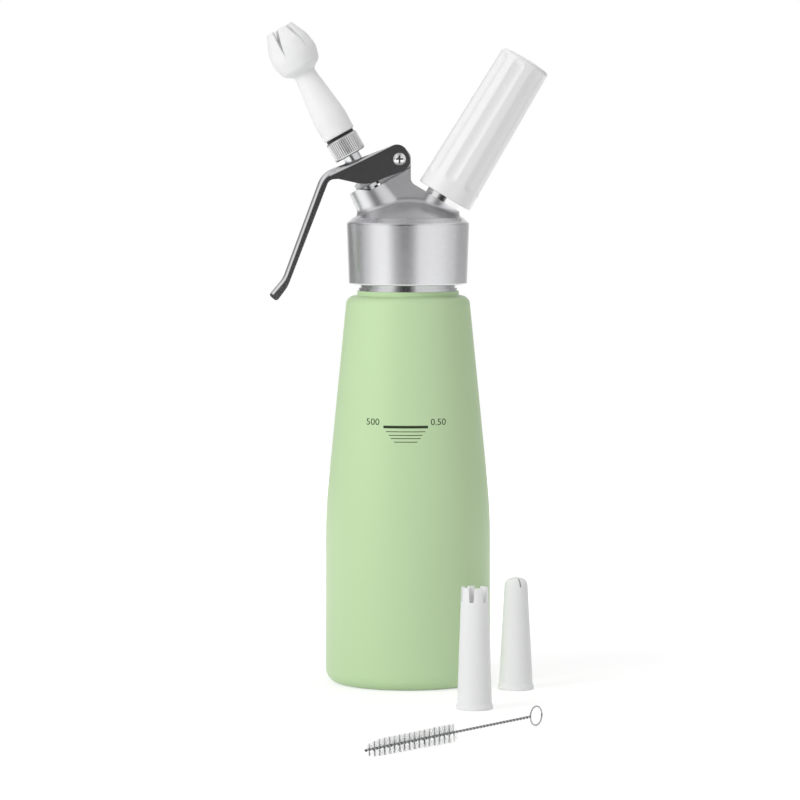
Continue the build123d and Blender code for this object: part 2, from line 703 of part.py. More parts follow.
def tulip_nozzle():
    """Decorating nozzle: a slim waist under a bulb that ends in petals."""
    points, radii = tulip_outline(0)
    outside = lathe(
        [(0, 0), (TULIP_FOOT_R, 0)] + points + [(0, TULIP_H)],
        [0, TULIP_FOOT_ROUND_R] + radii + [0],
    )
    points, radii = tulip_outline(TULIP_WALL)
    channel_r = points[1][0]
    inside = lathe(
        [(0, TULIP_SOCKET_D), (channel_r, TULIP_SOCKET_D)] + points[1:] + [(0, TULIP_H)],
        [0, 0] + radii[1:] + [0],
    )
    nozzle = outside - inside - rod(SPIGOT_R + THREAD_GAP, -CUT_PAST, TULIP_SOCKET_D + ADAPTER_SEAL_H)
    rise = TULIP_H - PETAL_SLOT_FOOT_H
    half_w = PETAL_SLOT_W / 2
    wedge = Polyline((0, -rise), (half_w, CUT_PAST), (-half_w, CUT_PAST), close=True)
    cutter = extrude(Plane.XZ * make_face(wedge), 2 * BULB_R)
    for petal in range(PETALS):
        turn = Rot(0, 0, PETAL_SLOT_TURN + petal * 360 / PETALS)
        nozzle -= turn * Pos(0, 0, TULIP_H) * cutter
    return VALVE.location * Pos(0, 0, TULIP_FOOT + FLAT_GAP) * nozzle


# ---------------------------------------------------------------- charger port
def charger_port():
    """Threaded nipple that the charger holder screws on."""
    port = rod(PORT_SCREW_R, PORT_FOOT, PORT_END) + rod(PORT_NECK_R, PORT_END, PORT_THREAD_FOOT)
    thread = chamfer(rod(PORT_THREAD_R, PORT_THREAD_FOOT, PORT_TOP).edges(), PORT_CHAMFER)
    port += thread + rod(VALVE_STUB_R, PORT_FOOT - VALVE_STUB_L, PORT_FOOT)
    port -= rod(CHARGER_SEAT_R, CHARGER_SEAT, PORT_TOP + CUT_PAST)
    port -= rod(PIN_R, PIN_FOOT, CHARGER_SEAT + CUT_PAST)
    port -= rod(GAS_WAY_R, PORT_FOOT - VALVE_STUB_L / 2, PIN_FOOT + CUT_PAST)
    side_way = Pos(0, 0, PORT_FOOT - VALVE_STUB_L / 2) * Rot(90, 0, 0)
    port -= side_way * extrude(Circle(GAS_WAY_R / 2), 2 * VALVE_STUB_R, both=True)
    return PORT.location * port


def piercing_pin():
    """Hollow pin that opens the charger's cap."""
    pin = rod(PIN_R, PIN_FOOT, CHARGER_SEAT)
    shaft = rod(PIN_TIP_R, CHARGER_SEAT - CUT_PAST, PIN_TIP - 2 * PIN_TIP_R)
    point = Pos(0, 0, PIN_TIP - PIN_TIP_R) * Cone(PIN_TIP_R, PIN_POINT_R, 2 * PIN_TIP_R)
    return PORT.location * (pin + shaft + point - rod(GAS_BORE_R, PIN_FOOT - CUT_PAST, PIN_TIP + CUT_PAST))


def port_seal():
    """Seal under the charger's neck, round the pin."""
    outer = CHARGER_SEAT_R
    corners = [(PIN_TIP_R, CHARGER_SEAT), (outer, CHARGER_SEAT), (outer, SEAL_TOP), (PIN_TIP_R, SEAL_TOP)]
    return PORT.location * lathe(corners, [0, 0, PORT_SEAL_ROUND_R, PORT_SEAL_ROUND_R])


def check_valve():
    """Rubber sleeve over the stub's side way: gas gets out of it, cream can't get in."""
    low = PORT_FOOT - VALVE_STUB_L
    return PORT.location * tube(VALVE_STUB_R + VALVE_SLEEVE_T, VALVE_STUB_R, low, PORT_FOOT)


def check_valve_cap():
    """Cap over the check valve, open at its end."""
    low = PORT_FOOT - VALVE_CAP_L
    cap = rod(VALVE_CAP_R, low, PORT_FOOT)
    cap -= rod(VALVE_CAP_R - VALVE_CAP_WALL, low + VALVE_CAP_WALL, PORT_FOOT + CUT_PAST)
    return PORT.location * (cap - rod(GAS_WAY_R, low - CUT_PAST, low + VALVE_CAP_WALL + CUT_PAST))


# ---------------------------------------------------------------- charger and holder
def gas_charger():
    """Steel gas charger, drawn as a hollow shell, its neck towards the pin."""
    shoulder = CHARGER_NECK_L + CHARGER_SHOULDER_L
    shell = lathe(
        [
            (0, 0),
            (CHARGER_NECK_R, 0),
            (CHARGER_NECK_R, CHARGER_NECK_L),
            (CHARGER_R, shoulder),
            (CHARGER_R, CHARGER_L),
            (0, CHARGER_L),
        ],
        [0, CHARGER_MOUTH_ROUND_R, CHARGER_NECK_ROUND_R, CHARGER_SHOULDER_ROUND_R, CHARGER_END_ROUND_R, 0],
    )
    room = lathe(
        [
            (0, 0),
            (CHARGER_BORE_R, 0),
            (CHARGER_BORE_R, CHARGER_NECK_L),
            (CHARGER_R - CHARGER_WALL, shoulder + CHARGER_WALL),
            (CHARGER_R - CHARGER_WALL, CHARGER_L - CHARGER_WALL),
            (0, CHARGER_L - CHARGER_WALL),
        ],
        [
            0,
            0,
            CHARGER_NECK_ROUND_R,
            CHARGER_SHOULDER_ROUND_R - CHARGER_WALL,
            CHARGER_END_ROUND_R - CHARGER_WALL,
            0,
        ],
    )
    shell -= room + rod(CHARGER_CAP_R, -CUT_PAST, CHARGER_CAP_D)
    return PORT.location * Pos(0, 0, CHARGER_TIP) * shell


def charger_cap():
    """Pierced sealing cap in the charger's neck."""
    low = CHARGER_TIP + CHARGER_CAP_D - CHARGER_CAP_T
    return PORT.location * tube(CHARGER_CAP_R, PIN_TIP_R + RUN_GAP, low, low + CHARGER_CAP_T)


def flute_cutter():
    """Long groove with round ends along the holder's tapered side, at its front."""
    cutter_r = (FLUTE_W**2 / 4 + FLUTE_D**2) / (2 * FLUTE_D)
    end_gap = FLUTE_W / 2
    straight = FLUTE_TOP - FLUTE_FOOT - 2 * end_gap
    bar = extrude(Circle(cutter_r), straight)
    bar += Sphere(cutter_r) + Pos(0, 0, straight) * Sphere(cutter_r)
    taper = math.degrees(math.atan((HOLDER_FOOT_R - HOLDER_TOP_R) / HOLDER_L))
    foot_r = HOLDER_FOOT_R - (FLUTE_FOOT + end_gap) * math.tan(math.radians(taper))
    return Pos(0, -foot_r - cutter_r + FLUTE_D, FLUTE_FOOT + end_gap) * Rot(-taper, 0, 0) * bar


def charger_holder():
    """Fluted holder that screws down over the charger."""
    edge_z = HOLDER_L - HOLDER_DOME_H
    holder = lathe(
        [(0, 0), (HOLDER_FOOT_R, 0), (HOLDER_TOP_R, edge_z), (0, edge_z)],
        [0, HOLDER_FOOT_ROUND_R, HOLDER_EDGE_R, 0],
    )
    holder += dome(HOLDER_TOP_R - HOLDER_EDGE_R, edge_z, HOLDER_DOME_H)
    cutter = flute_cutter()
    for flute in range(FLUTES):
        holder -= Rot(0, 0, FLUTE_TURN + flute * 360 / FLUTES) * cutter
    charger_end = CHARGER_END - HOLDER_FOOT + FREE_GAP
    holder -= rod(INSERT_R, -CUT_PAST, PORT_TOP - HOLDER_FOOT + FREE_GAP)
    holder -= rod(HOLDER_ROOM_R, 0, charger_end)
    holder -= rod(HOLDER_HOLLOW_R, 0, edge_z - HOLDER_TOP_T)
    return PORT.location * Pos(0, 0, HOLDER_FOOT) * holder


def holder_insert():
    """Metal thread in the holder's mouth."""
    inner = PORT_THREAD_R + THREAD_GAP
    return PORT.location * tube(INSERT_R, inner, HOLDER_FOOT + INSERT_INSET, PORT_TOP + FREE_GAP)


# ---------------------------------------------------------------- spare nozzles
def spare_blank(height, top_r, top_round):
    """Tall hollow cone with a threaded foot, closed at the top with one wall."""
    outside = lathe(
        [
            (0, 0),
            (SPARE_FOOT_R, 0),
            (SPARE_FOOT_R, SPARE_FOOT_H / 2),
            (SPARE_RIM_R, SPARE_FOOT_H),
            (top_r, height),
            (0, height),
        ],
        [0, SPARE_FOOT_ROUND_R, SPARE_FOOT_ROUND_R, SPARE_RIM_ROUND_R, top_round, 0],
    )
    socket = SPIGOT_R + THREAD_GAP
    inner_top = top_r - SPARE_WALL
    inside = lathe(
        [
            (0, -CUT_PAST),
            (socket, -CUT_PAST),
            (socket, SPARE_SOCKET_D),
            (inner_top, height - SPARE_WALL),
            (0, height - SPARE_WALL),
        ],
        [0, 0, 0, max(top_round - SPARE_WALL, 0), 0],
    )
    return outside - inside


def star_nozzle():
    """Spare nozzle with an open toothed top."""
    nozzle = spare_blank(STAR_H, STAR_TOP_R, 0.0)
    hollow_r = STAR_TOP_R - SPARE_WALL
    nozzle -= rod(hollow_r, STAR_H - 2 * SPARE_WALL, STAR_H + CUT_PAST)
    outline = FilletPolyline(
        (-STAR_SLOT_W / 2, CUT_PAST),
        (-STAR_SLOT_FOOT_W / 2, -STAR_SLOT_D),
        (STAR_SLOT_FOOT_W / 2, -STAR_SLOT_D),
        (STAR_SLOT_W / 2, CUT_PAST),
        radius=[0, STAR_SLOT_ROUND_R, STAR_SLOT_ROUND_R, 0],
        close=True,
    )
    cutter = extrude(Plane.XZ.offset(hollow_r / 2) * make_face(outline), STAR_TOP_R)
    for tooth in range(STAR_TEETH):
        turn = Rot(0, 0, STAR_SLOT_TURN + tooth * 360 / STAR_TEETH)
        nozzle -= turn * Pos(0, 0, STAR_H) * cutter
    return Pos(STAR_X, STAR_Y, 0) * nozzle


def slit_nozzle():
    """Spare nozzle with a domed top and one slit."""
    nozzle = spare_blank(SLIT_H, SLIT_TOP_R, SLIT_TOP_ROUND_R)
    slit = Pos(0, 0, SLIT_H) * Rot(0, 0, SLIT_TURN) * Box(SLIT_L + SLIT_TOP_R, SLIT_W, 2 * SLIT_D)
    return Pos(SLIT_X, SLIT_Y, 0) * (nozzle - slit)


# ---------------------------------------------------------------- cleaning brush
def brush_frame():
    """Frame of the brush as it lies: origin in the ring's middle, +X along the wire."""
    ring_height = RING_MEAN_R + RING_WIRE_R
    bristle_middle = BRUSH_L - BRISTLE_TIP_GAP - BRISTLE_L
    dip = math.degrees(math.atan((ring_height - BRISTLE_R) / bristle_middle))
    return Pos(BRUSH_X, BRUSH_Y, ring_height) * Rot(0, 0, BRUSH_TURN) * Rot(0, dip, 0)


def brush_wire():
    """Twisted wire with a ring at one end."""
    ring = Rot(90, 0, 0) * Torus(RING_MEAN_R, RING_WIRE_R)
    stem = Pos(RING_MEAN_R, 0, 0) * Rot(0, 90, 0) * rod(TWIST_R, 0, BRUSH_L - RING_MEAN_R)
    return brush_frame() * (ring + stem)


def brush_bristles():
    """Outer form of the bristles round the wire."""
    low = BRUSH_L - BRISTLE_TIP_GAP - BRISTLE_L
    form = lathe(
        [
            (TWIST_R, 0),
            (BRISTLE_R, 0),
            (BRISTLE_R, BRISTLE_L - BRISTLE_TAPER_L),
            (BRISTLE_TIP_R, BRISTLE_L),
            (TWIST_R, BRISTLE_L),
        ],
        [0, BRISTLE_EDGE_R, BRISTLE_TAPER_ROUND_R, BRISTLE_EDGE_R, 0],
    )
    return brush_frame() * Pos(low, 0, 0) * Rot(0, 90, 0) * form


PIECES = [
    bottle,
    head_gasket,
    head_casting,
    lever,
    pivot_sleeve,
    pivot_screw,
    valve_stem,
    valve_washer,
    stem_seal,
    valve_collar,
    stem_nut,
    valve_spring,
    adapter_ring,
    adapter_seal,
    tulip_nozzle,
    charger_port,
    piercing_pin,
    port_seal,
    check_valve,
    check_valve_cap,
    gas_charger,
    charger_cap,
    charger_holder,
    holder_insert,
    star_nozzle,
    slit_nozzle,
    brush_wire,
    brush_bristles,
]

os.makedirs("parts", exist_ok=True)
for piece in PIECES:
    export_step(piece(), f"parts/{piece.__name__}.step")
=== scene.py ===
import logging
import math
from dataclasses import dataclass
from enum import Enum
from typing import Callable, Iterable, Sequence

import bmesh
import bpy
from mathutils import Matrix, Vector


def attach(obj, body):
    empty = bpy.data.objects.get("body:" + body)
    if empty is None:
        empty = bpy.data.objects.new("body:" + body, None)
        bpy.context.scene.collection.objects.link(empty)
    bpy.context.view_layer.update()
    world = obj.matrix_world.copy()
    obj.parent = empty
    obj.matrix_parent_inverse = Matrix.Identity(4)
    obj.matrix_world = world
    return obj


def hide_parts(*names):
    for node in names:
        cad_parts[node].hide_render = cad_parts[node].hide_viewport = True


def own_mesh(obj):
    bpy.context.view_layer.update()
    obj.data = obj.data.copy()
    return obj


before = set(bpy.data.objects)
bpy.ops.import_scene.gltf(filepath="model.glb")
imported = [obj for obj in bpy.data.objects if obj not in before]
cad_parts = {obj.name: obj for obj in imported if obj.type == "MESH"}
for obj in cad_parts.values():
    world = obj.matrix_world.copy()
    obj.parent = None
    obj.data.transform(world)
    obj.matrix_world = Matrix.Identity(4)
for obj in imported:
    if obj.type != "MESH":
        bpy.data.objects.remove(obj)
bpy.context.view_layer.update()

LOG = logging.getLogger("cream_dispenser")
MM = 0.001                          # pieces are modelled in millimetres and placed in metres
MERGE = 0.002                       # mm, corners nearer than this are one corner
NEAR = 0.01                         # mm, a corner as near as this lies on a face
CUTTER_FACETS = 48                  # facets of a round cutter
AXES_Z = 213.7                      # mm, where the valve's and the charger's axes meet
VALVE_TILT = -29.5                  # degrees from +Z towards +X
PORT_TILT = 31.0
BRUSH_AT = (59.2, -156.0, 4.95)     # mm, middle of the brush's ring
BRUSH_HEADING = 231.1               # degrees about +Z
BRUSH_DIP = 0.7                     # degrees below the horizontal
SURROUND = (                        # degrees from the front towards +X, and brightness
    (-180, 1.0), (-165, 0.9), (-150, 0.3), (-108, 0.32), (-84, 0.7), (-66, 1.07),
    (-42, 1.07), (-22, 0.22), (-14, 0.06), (3, 0.05), (10, 0.3), (22, 0.95), (66, 0.95),
    (90, 0.75), (118, 0.45), (150, 0.5), (165, 0.9), (180, 1.0),
)
WHITE = (1.0, 1.0, 1.0, 1.0)

Spot = tuple[float, float]
Corner = tuple[float, float, float]
Outline = list[Spot]
Piece = bpy.types.Object


def held(value: float, low: float = 0.0, high: float = 1.0) -> float:
    """A value kept between two ends."""
    return max(low, min(high, value))


# ---- node trees
def linear(code: str) -> tuple[float, float, float, float]:
    """Turns an sRGB hex colour to the linear values that a shader takes.

    Args:
        code: Six hex digits after a hash sign.

    Returns:
        Red, green, blue and an alpha of one.
    """
    parts = [int(code[at:at + 2], 16) / 255 for at in (1, 3, 5)]
    red, green, blue = (
        p / 12.92 if p <= 0.04045 else ((p + 0.055) / 1.055) ** 2.4 for p in parts
    )
    return red, green, blue, 1.0


def wire(node: bpy.types.Node, inputs: dict) -> None:
    """Sets sockets of a node.

    Args:
        node: The node.
        inputs: Socket name or number, with a value or with the output that feeds it.
    """
    for name, value in inputs.items():
        if isinstance(value, bpy.types.NodeSocket):
            node.id_data.links.new(value, node.inputs[name])
        else:
            node.inputs[name].default_value = value


def add(
    tree: bpy.types.NodeTree, kind: str, inputs: dict | None = None, **settings: object
) -> Sequence[bpy.types.NodeSocket]:
    """Adds a node, with its settings, socket values and links.

    Args:
        tree: Node tree that gets the node.
        kind: Blender's name of the node, without the part that all shader nodes share.
        inputs: Its sockets, as wire takes them.
        settings: Attributes of the node itself.

    Returns:
        The node's outputs, which take a name or a number.
    """
    node = tree.nodes.new("ShaderNode" + kind)
    for key, value in settings.items():
        setattr(node, key, value)
    wire(node, inputs or {})
    return node.outputs


# ---- finishes
@dataclass(frozen=True)
class Finish:
    """A material and its surface, whose grain is given in millimetres."""

    name: str
    colour: str
    roughness: float
    metallic: float = 0.0
    grain: float = 1.0
    relief: float = 0.02
    mottle: float = 0.03
    coat: float = 0.0
    coat_roughness: float = 0.08
    translucency: float = 0.0
    depth: float = 3.0
    stretch: Corner = (1.0, 1.0, 1.0)
    turned: Corner = (0.0, 0.0, 0.0)
    uneven: float = 0.15            # share by which the grain changes the roughness

    def material(self) -> bpy.types.Material:
        """Makes the material once.

        Returns:
            The Blender material.
        """
        made = bpy.data.materials.get(self.name)
        if made is None:
            made = bpy.data.materials.new(self.name)
            made.use_nodes = True
            self.dress(made.node_tree.nodes["Principled BSDF"])
        return made

    def dress(self, shader: bpy.types.Node) -> None:
        """Sets the shader and lays the grain over its colour, roughness and height.

        Args:
            shader: The material's Principled shader.
        """
        tree = shader.id_data
        spot = {"Vector": add(tree, "TexCoord")["Object"]}
        spot.update({"Scale": self.stretch, "Rotation": self.turned})
        place = add(tree, "Mapping", spot, vector_type="TEXTURE")[0]
        noise = {"Vector": place, "Scale": 1 / (self.grain * MM), "Detail": 3.0}
        grain = add(tree, "TexNoise", noise)["Fac"]
        levels = {"To Min": 1 - self.mottle, "To Max": 1 + self.mottle}
        shade = add(tree, "MapRange", {"Value": grain, **levels})[0]
        tint = {0: linear(self.colour)[:3], "Scale": shade}
        levels = {
            "To Min": self.roughness * (1 - self.uneven),
            "To Max": self.roughness * (1 + self.uneven),
        }
        bump = {"Height": grain, "Strength": 1.0, "Distance": self.relief * MM}
        wire(shader, {
            "Metallic": self.metallic,
            "Coat Weight": self.coat,
            "Coat Roughness": self.coat_roughness,
            "Subsurface Weight": self.translucency,
            "Subsurface Radius": (1.0, 1.0, 1.0),
            "Subsurface Scale": self.depth * MM,
            "Base Color": add(tree, "VectorMath", tint, operation="SCALE")[0],
            "Roughness": add(tree, "MapRange", {"Value": grain, **levels})[0],
            "Normal": add(tree, "Bump", bump)[0],
        })


@dataclass(frozen=True)
class TurnedCasting(Finish):
    """Cast metal whose skirt is turned on a lathe and so is smoother than what is above it."""

    skirt_top: float = 233.6
    skirt_edge: float = 1.0
    skirt_roughness: float = 0.25

    def dress(self, shader: bpy.types.Node) -> None:
        """Adds to the plain finish the smoother skirt.

        Args:
            shader: The material's Principled shader.
        """
        super().dress(shader)
        tree = shader.id_data
        height = add(tree, "SeparateXYZ", {0: add(tree, "TexCoord")["Object"]})["Z"]
        levels = {
            "From Min": (self.skirt_top - self.skirt_edge) * MM,
            "From Max": (self.skirt_top + self.skirt_edge) * MM,
            "To Min": self.skirt_roughness / self.roughness,
        }
        share = add(tree, "MapRange", {"Value": height, **levels})[0]
        both = {0: shader.inputs["Roughness"].links[0].from_socket, 1: share}
        wire(shader, {"Roughness": add(tree, "Math", both, operation="MULTIPLY")[0]})


@dataclass(frozen=True)
class ValleyShaded(Finish):
    """Metal with painted shade in its valleys: near an axis its colour is darker than what stands
    out from it.
    """

    origin: Corner = (0.0, 0.0, 0.0)
    turn: Corner = (0.0, 0.0, 0.0)
    across: Corner = (1.0, 1.0, 0.0)
    top: float = 1.0
    foot: float = 0.0
    # Painted shade: share of the colour that is left at the foot of the valleys.
    valley_shade: float = 0.6

    def dress(self, shader: bpy.types.Node) -> None:
        """Adds to the plain finish the painted shade in the valleys.

        Args:
            shader: The material's Principled shader.
        """
        super().dress(shader)
        tree = shader.id_data
        spot = {
            "Vector": add(tree, "TexCoord")["Object"],
            "Location": tuple(value * MM for value in self.origin),
            "Rotation": tuple(math.radians(value) for value in self.turn),
        }
        axis = add(tree, "Mapping", spot, vector_type="TEXTURE")[0]
        flat = add(tree, "VectorMath", {0: axis, 1: self.across}, operation="MULTIPLY")[0]
        radius = add(tree, "VectorMath", {0: flat}, operation="LENGTH")["Value"]
        levels = {"From Min": self.foot * MM, "From Max": self.top * MM, "To Min": self.valley_shade}
        # Painted shade: the base colour is darkened towards the axis, in the valleys.
        shade = add(tree, "MapRange", {"Value": radius, **levels})[0]
        both = {0: shader.inputs["Base Color"].links[0].from_socket, "Scale": shade}
        wire(shader, {"Base Color": add(tree, "VectorMath", both, operation="SCALE")[0]})


@dataclass(frozen=True)
class PowderCoat(Finish):
    """Satin powder coat that stops below the neck, where turned aluminium is left bare."""

    coat_top: float = 196.7
    bare_colour: str = "#C9CACB"
    bare_roughness: float = 0.15
    inward: float = -1e-5           # m, a wall that faces the axis more than this is inside

    def dress(self, shader: bpy.types.Node) -> None:
        """Adds to the plain finish the bare metal above the coat's edge and inside the bottle.

        Args:
            shader: The material's Principled shader.
        """
        super().dress(shader)
        tree = shader.id_data
        place = add(tree, "TexCoord")
        height = add(tree, "SeparateXYZ", {0: place["Object"]})["Z"]
        top = {0: height, 1: self.coat_top * MM}
        above = add(tree, "Math", top, operation="GREATER_THAN")[0]
        level = {0: place["Object"], 1: (1.0, 1.0, 0.0)}
        flat = add(tree, "VectorMath", level, operation="MULTIPLY")[0]
        pair = {0: flat, 1: place["Normal"]}
        facing = add(tree, "VectorMath", pair, operation="DOT_PRODUCT")["Value"]
        inside = add(tree, "Math", {0: facing, 1: self.inward}, operation="LESS_THAN")[0]
        bare = add(tree, "Math", {0: above, 1: inside}, operation="MAXIMUM")[0]
        dull = (self.bare_roughness,) * 3 + (1.0,)
        for name, value in (("Base Color", linear(self.bare_colour)), ("Roughness", dull)):
            pair = {6: shader.inputs[name].links[0].from_socket, 7: value}
            mixed = add(tree, "Mix", {"Factor": bare, **pair}, data_type="RGBA")[2]
            wire(shader, {name: mixed})
        wire(shader, {"Metallic": bare})


class Metal(Enum):
    """The metals of the dispenser."""

    # Die-cast aluminium, brushed round the bottle's axis: soft highlights, fine level ticks.
    CAST = TurnedCasting(
        "brushed_cast_aluminium", "#D7D7D9", 0.36, 1.0, grain=0.32, relief=0.009, mottle=0.07,
        stretch=(9.0, 9.0, 1.0),
    )
    # Stamped stainless steel, brushed along its length: long soft streaks.
    LEVER = Finish(
        "brushed_stainless_steel", "#D6D6D8", 0.16, 1.0, grain=0.35, relief=0.0008, mottle=0.02,
        stretch=(18.0, 1.0, 1.0), turned=(0.0, math.radians(-21), 0.0),
    )
    # Turned stainless steel: clean and bright.
    TURNED = Finish("turned_stainless_steel", "#D2D3D4", 0.2, 1.0, grain=0.6, relief=0.003)
    # Zinc-plated nut: bright with a faint cloud.
    PLATED = Finish(
        "zinc_plated_steel", "#CDCECF", 0.42, 1.0, grain=0.8, relief=0.006, mottle=0.06
    )
    # Cold-drawn spring wire: a grey shine.
    SPRING = Finish("drawn_spring_steel", "#B4B5B7", 0.3, 1.0, grain=0.4, relief=0.004)
    # Knurled steel under a nickel plate: bright ribs, with painted shade darkening the valleys.
    KNURLED = ValleyShaded(
        "knurled_nickel_plate", "#E2E2E2", 0.42, 1.0, grain=0.5, relief=0.006, mottle=0.05,
        origin=(0.0, 0.0, AXES_Z), turn=(0.0, VALVE_TILT, 0.0), top=8.3, foot=7.9,
    )
    # Turned brass under a thin nickel plate: silvery, a little warm.
    NICKEL = Finish("nickel_plated_brass", "#CBC8C0", 0.26, 1.0, grain=0.5, relief=0.004)
    # Chromed brass: a mirror with a trace of polish.
    CHROME = Finish("chromed_brass", "#DADBDD", 0.1, 1.0, grain=0.8, relief=0.002, mottle=0.02)
    # Turned brass left bare: warm yellow.
    BRASS = Finish("turned_brass", "#C9A45C", 0.28, 1.0, grain=0.5, relief=0.004)
    # Painted and lacquered steel of the gas charger.
    CHARGER = Finish("lacquered_steel", "#C4C6C8", 0.22, 1.0, grain=1.2, relief=0.006)
    # Tinned steel foil: dull silver.
    CHARGER_CAP = Finish("tinned_steel", "#B9BABC", 0.3, 1.0, grain=0.5, relief=0.004)
    # Galvanised wire: bright on its strands, with painted shade darkening them where they cross.
    WIRE = ValleyShaded(
        "galvanised_wire", "#B4B5B6", 0.22, 1.0, grain=0.3, relief=0.006, mottle=0.08,
        origin=BRUSH_AT, turn=(0.0, BRUSH_DIP, BRUSH_HEADING), across=(0.0, 1.0, 1.0),
        top=0.72, foot=0.36, valley_shade=0.18,
    )


class Plain(Enum):
    """The finishes that aren't metal."""

    # Polyester powder coat on aluminium: even satin colour with a faint orange peel.
    BODY = PowderCoat(
        "satin_powder_coat", "#C6E1B1", 0.4, grain=1.1, relief=0.012, mottle=0.012
    )
    # Polypropylene, moulded with a fine spark texture: dry and matte.
    NOZZLE = Finish(
        "matte_polypropylene", "#F7F7F8", 0.5, grain=0.35, relief=0.012, mottle=0.01,
        translucency=0.45,
    )
    # ABS from a polished mould: wet highlights along the ribs.
    HOLDER = Finish("gloss_abs", "#F6F6F6", 0.2, grain=3.0, relief=0.006, mottle=0.006, coat=0.35)
    # Moulded nitrile rubber: black and dry.
    BLACK_RUBBER = Finish("nitrile_rubber", "#17181A", 0.55, grain=0.25, mottle=0.1)
    # Moulded silicone rubber: grey and dull.
    GREY_RUBBER = Finish("silicone_rubber", "#8C8E90", 0.5, grain=0.25, mottle=0.06)
    # Nylon monofilament: grey, waxy and slightly shiny.
    NYLON = Finish("nylon_filament", "#7A7B7D", 0.35, grain=0.3, relief=0.0, mottle=0.04)
    # Pad-printed ink: flat, very dark green.
    INK = Finish("pad_print_ink", "#1C2E0F", 0.6, grain=0.3, relief=0.004, mottle=0.06)


CAD_FINISHES: dict[Metal | Plain, tuple[str, ...]] = {
    Plain.BODY: ("bottle",),
    Metal.CAST: ("head_casting",),
    Metal.TURNED: ("pivot_sleeve", "valve_stem", "valve_collar", "piercing_pin"),
    Metal.CHROME: ("pivot_screw", "charger_port"),
    Metal.PLATED: ("stem_nut",),
    Metal.BRASS: ("check_valve_cap",),
    Metal.CHARGER: ("gas_charger",),
    Metal.CHARGER_CAP: ("charger_cap",),
    Metal.NICKEL: ("holder_insert",),
    Plain.NOZZLE: ("star_nozzle", "slit_nozzle"),
    Plain.BLACK_RUBBER: ("head_gasket", "valve_washer", "stem_seal", "adapter_seal", "port_seal"),
    Plain.GREY_RUBBER: ("check_valve",),
}


# ---- modelling by operators
def leaning(tilt: float) -> Matrix:
    """Frame, in millimetres, whose +Z leans by degrees from +Z towards +X where the axes meet."""
    return Matrix.Translation((0, 0, AXES_Z)) @ Matrix.Rotation(math.radians(tilt), 4, "Y")


def rounded(corners: Sequence[Corner], closed: bool = True, step: float = 12.0) -> Outline:
    """Replaces the corners of an outline by arcs.

    Args:
        corners: First coordinate, second coordinate and rounding radius of each corner.
        closed: Whether the last corner joins the first.
        step: Turn of an arc between two of its points, in degrees.

    Returns:
        The points of the outline.
    """
    points: Outline = []
    count = len(corners)
    for at, (x, z, radius) in enumerate(corners):
        here = Vector((x, z))
        if radius <= 0 or (not closed and at in (0, count - 1)):
            points.append((x, z))
            continue
        before = (Vector(corners[at - 1][:2]) - here).normalized()
        after = (Vector(corners[(at + 1) % count][:2]) - here).normalized()
        half = before.angle(after) / 2
        centre = here + (before + after).normalized() * (radius / math.sin(half))
        first = here + before * (radius / math.tan(half)) - centre
        sweep = first.angle_signed(here + after * (radius / math.tan(half)) - centre)
        pieces = max(2, round(abs(math.degrees(sweep)) / step))
        for piece in range(pieces + 1):
            turned = Matrix.Rotation(-sweep * piece / pieces, 2) @ first
            points.append(tuple(centre + turned))
    return points


def only(piece: Piece) -> None:
    """Selects a piece alone and makes it the active one.

    Args:
        piece: The piece.
    """
    bpy.ops.object.select_all(action="DESELECT")
    piece.select_set(True)
    bpy.context.view_layer.objects.active = piece


def new_piece(name: str, operator: Callable, **settings: object) -> Piece:
    """Makes a piece by one of Blender's operators.

    Args:
        name: Name of the new piece.
        operator: The operator.
        settings: Its arguments.

    Returns:
        The piece, selected alone.
    """
    bpy.ops.object.select_all(action="DESELECT")
    operator(**settings)
    piece = bpy.context.object
    piece.name = name
    return piece


def settle() -> None:
    """Puts the place, turn and scale of what is selected in its mesh."""
    bpy.ops.object.transform_apply(location=True, rotation=True, scale=True)


def edit(piece: Piece) -> None:
    """Opens a piece alone for editing, with all of it selected.

    Args:
        piece: The piece.
    """
    only(piece)
    bpy.ops.object.mode_set(mode="EDIT")
    bpy.ops.mesh.select_mode(type="VERT")
    bpy.ops.mesh.select_all(action="SELECT")


def close() -> None:
    """Leaves editing."""
    bpy.ops.object.mode_set(mode="OBJECT")


def shift(x: float, y: float, z: float) -> None:
    """Moves what is selected, in millimetres."""
    bpy.ops.transform.translate(value=(x, y, z))


def pick(kind: str, test: Callable[[Vector], bool]) -> None:
    """Selects in edit mode only the corners or faces whose middle passes a test.

    Args:
        kind: "verts" or "faces".
        test: Says whether a middle is wanted.
    """
    bpy.ops.mesh.select_all(action="DESELECT")
    bpy.ops.mesh.select_mode(type=kind[:-1].upper())
    shape = bmesh.from_edit_mesh(bpy.context.object.data)
    for part in getattr(shape, kind):
        middle = part.co if kind == "verts" else part.calc_center_median()
        if test(middle):
            part.select_set(True)
    shape.select_flush_mode()
    bmesh.update_edit_mesh(bpy.context.object.data)


def wire_path(name: str, points: Iterable[Spot]) -> Piece:
    """Draws a chain of edges in the XZ plane by extruding one corner from point to point.

    Args:
        name: Name of the new piece.
        points: The chain's points in millimetres.

    Returns:
        The piece, still open for editing.
    """
    piece = new_piece(name, bpy.ops.mesh.primitive_plane_add, size=1)
    edit(piece)
    bpy.ops.mesh.merge(type="CENTER")
    last = Vector((0.0, 0.0))
    for at, point in enumerate(points):
        step = Vector(point) - last
        if at == 0:
            shift(step.x, 0, step.y)
        else:
            extrude(step.x, 0, step.y)
        last = Vector(point)
    return piece


def extrude(x: float, y: float, z: float) -> None:
    """Extrudes what is selected, in millimetres."""
    bpy.ops.mesh.extrude_region_move(TRANSFORM_OT_translate={"value": (x, y, z)})


def tidy_shell() -> None:
    """Joins doubled corners of the piece in edit mode and turns its faces outwards."""
    bpy.ops.mesh.select_all(action="SELECT")
    bpy.ops.mesh.remove_doubles(threshold=MERGE)
    bpy.ops.mesh.normals_make_consistent(inside=False)
    close()


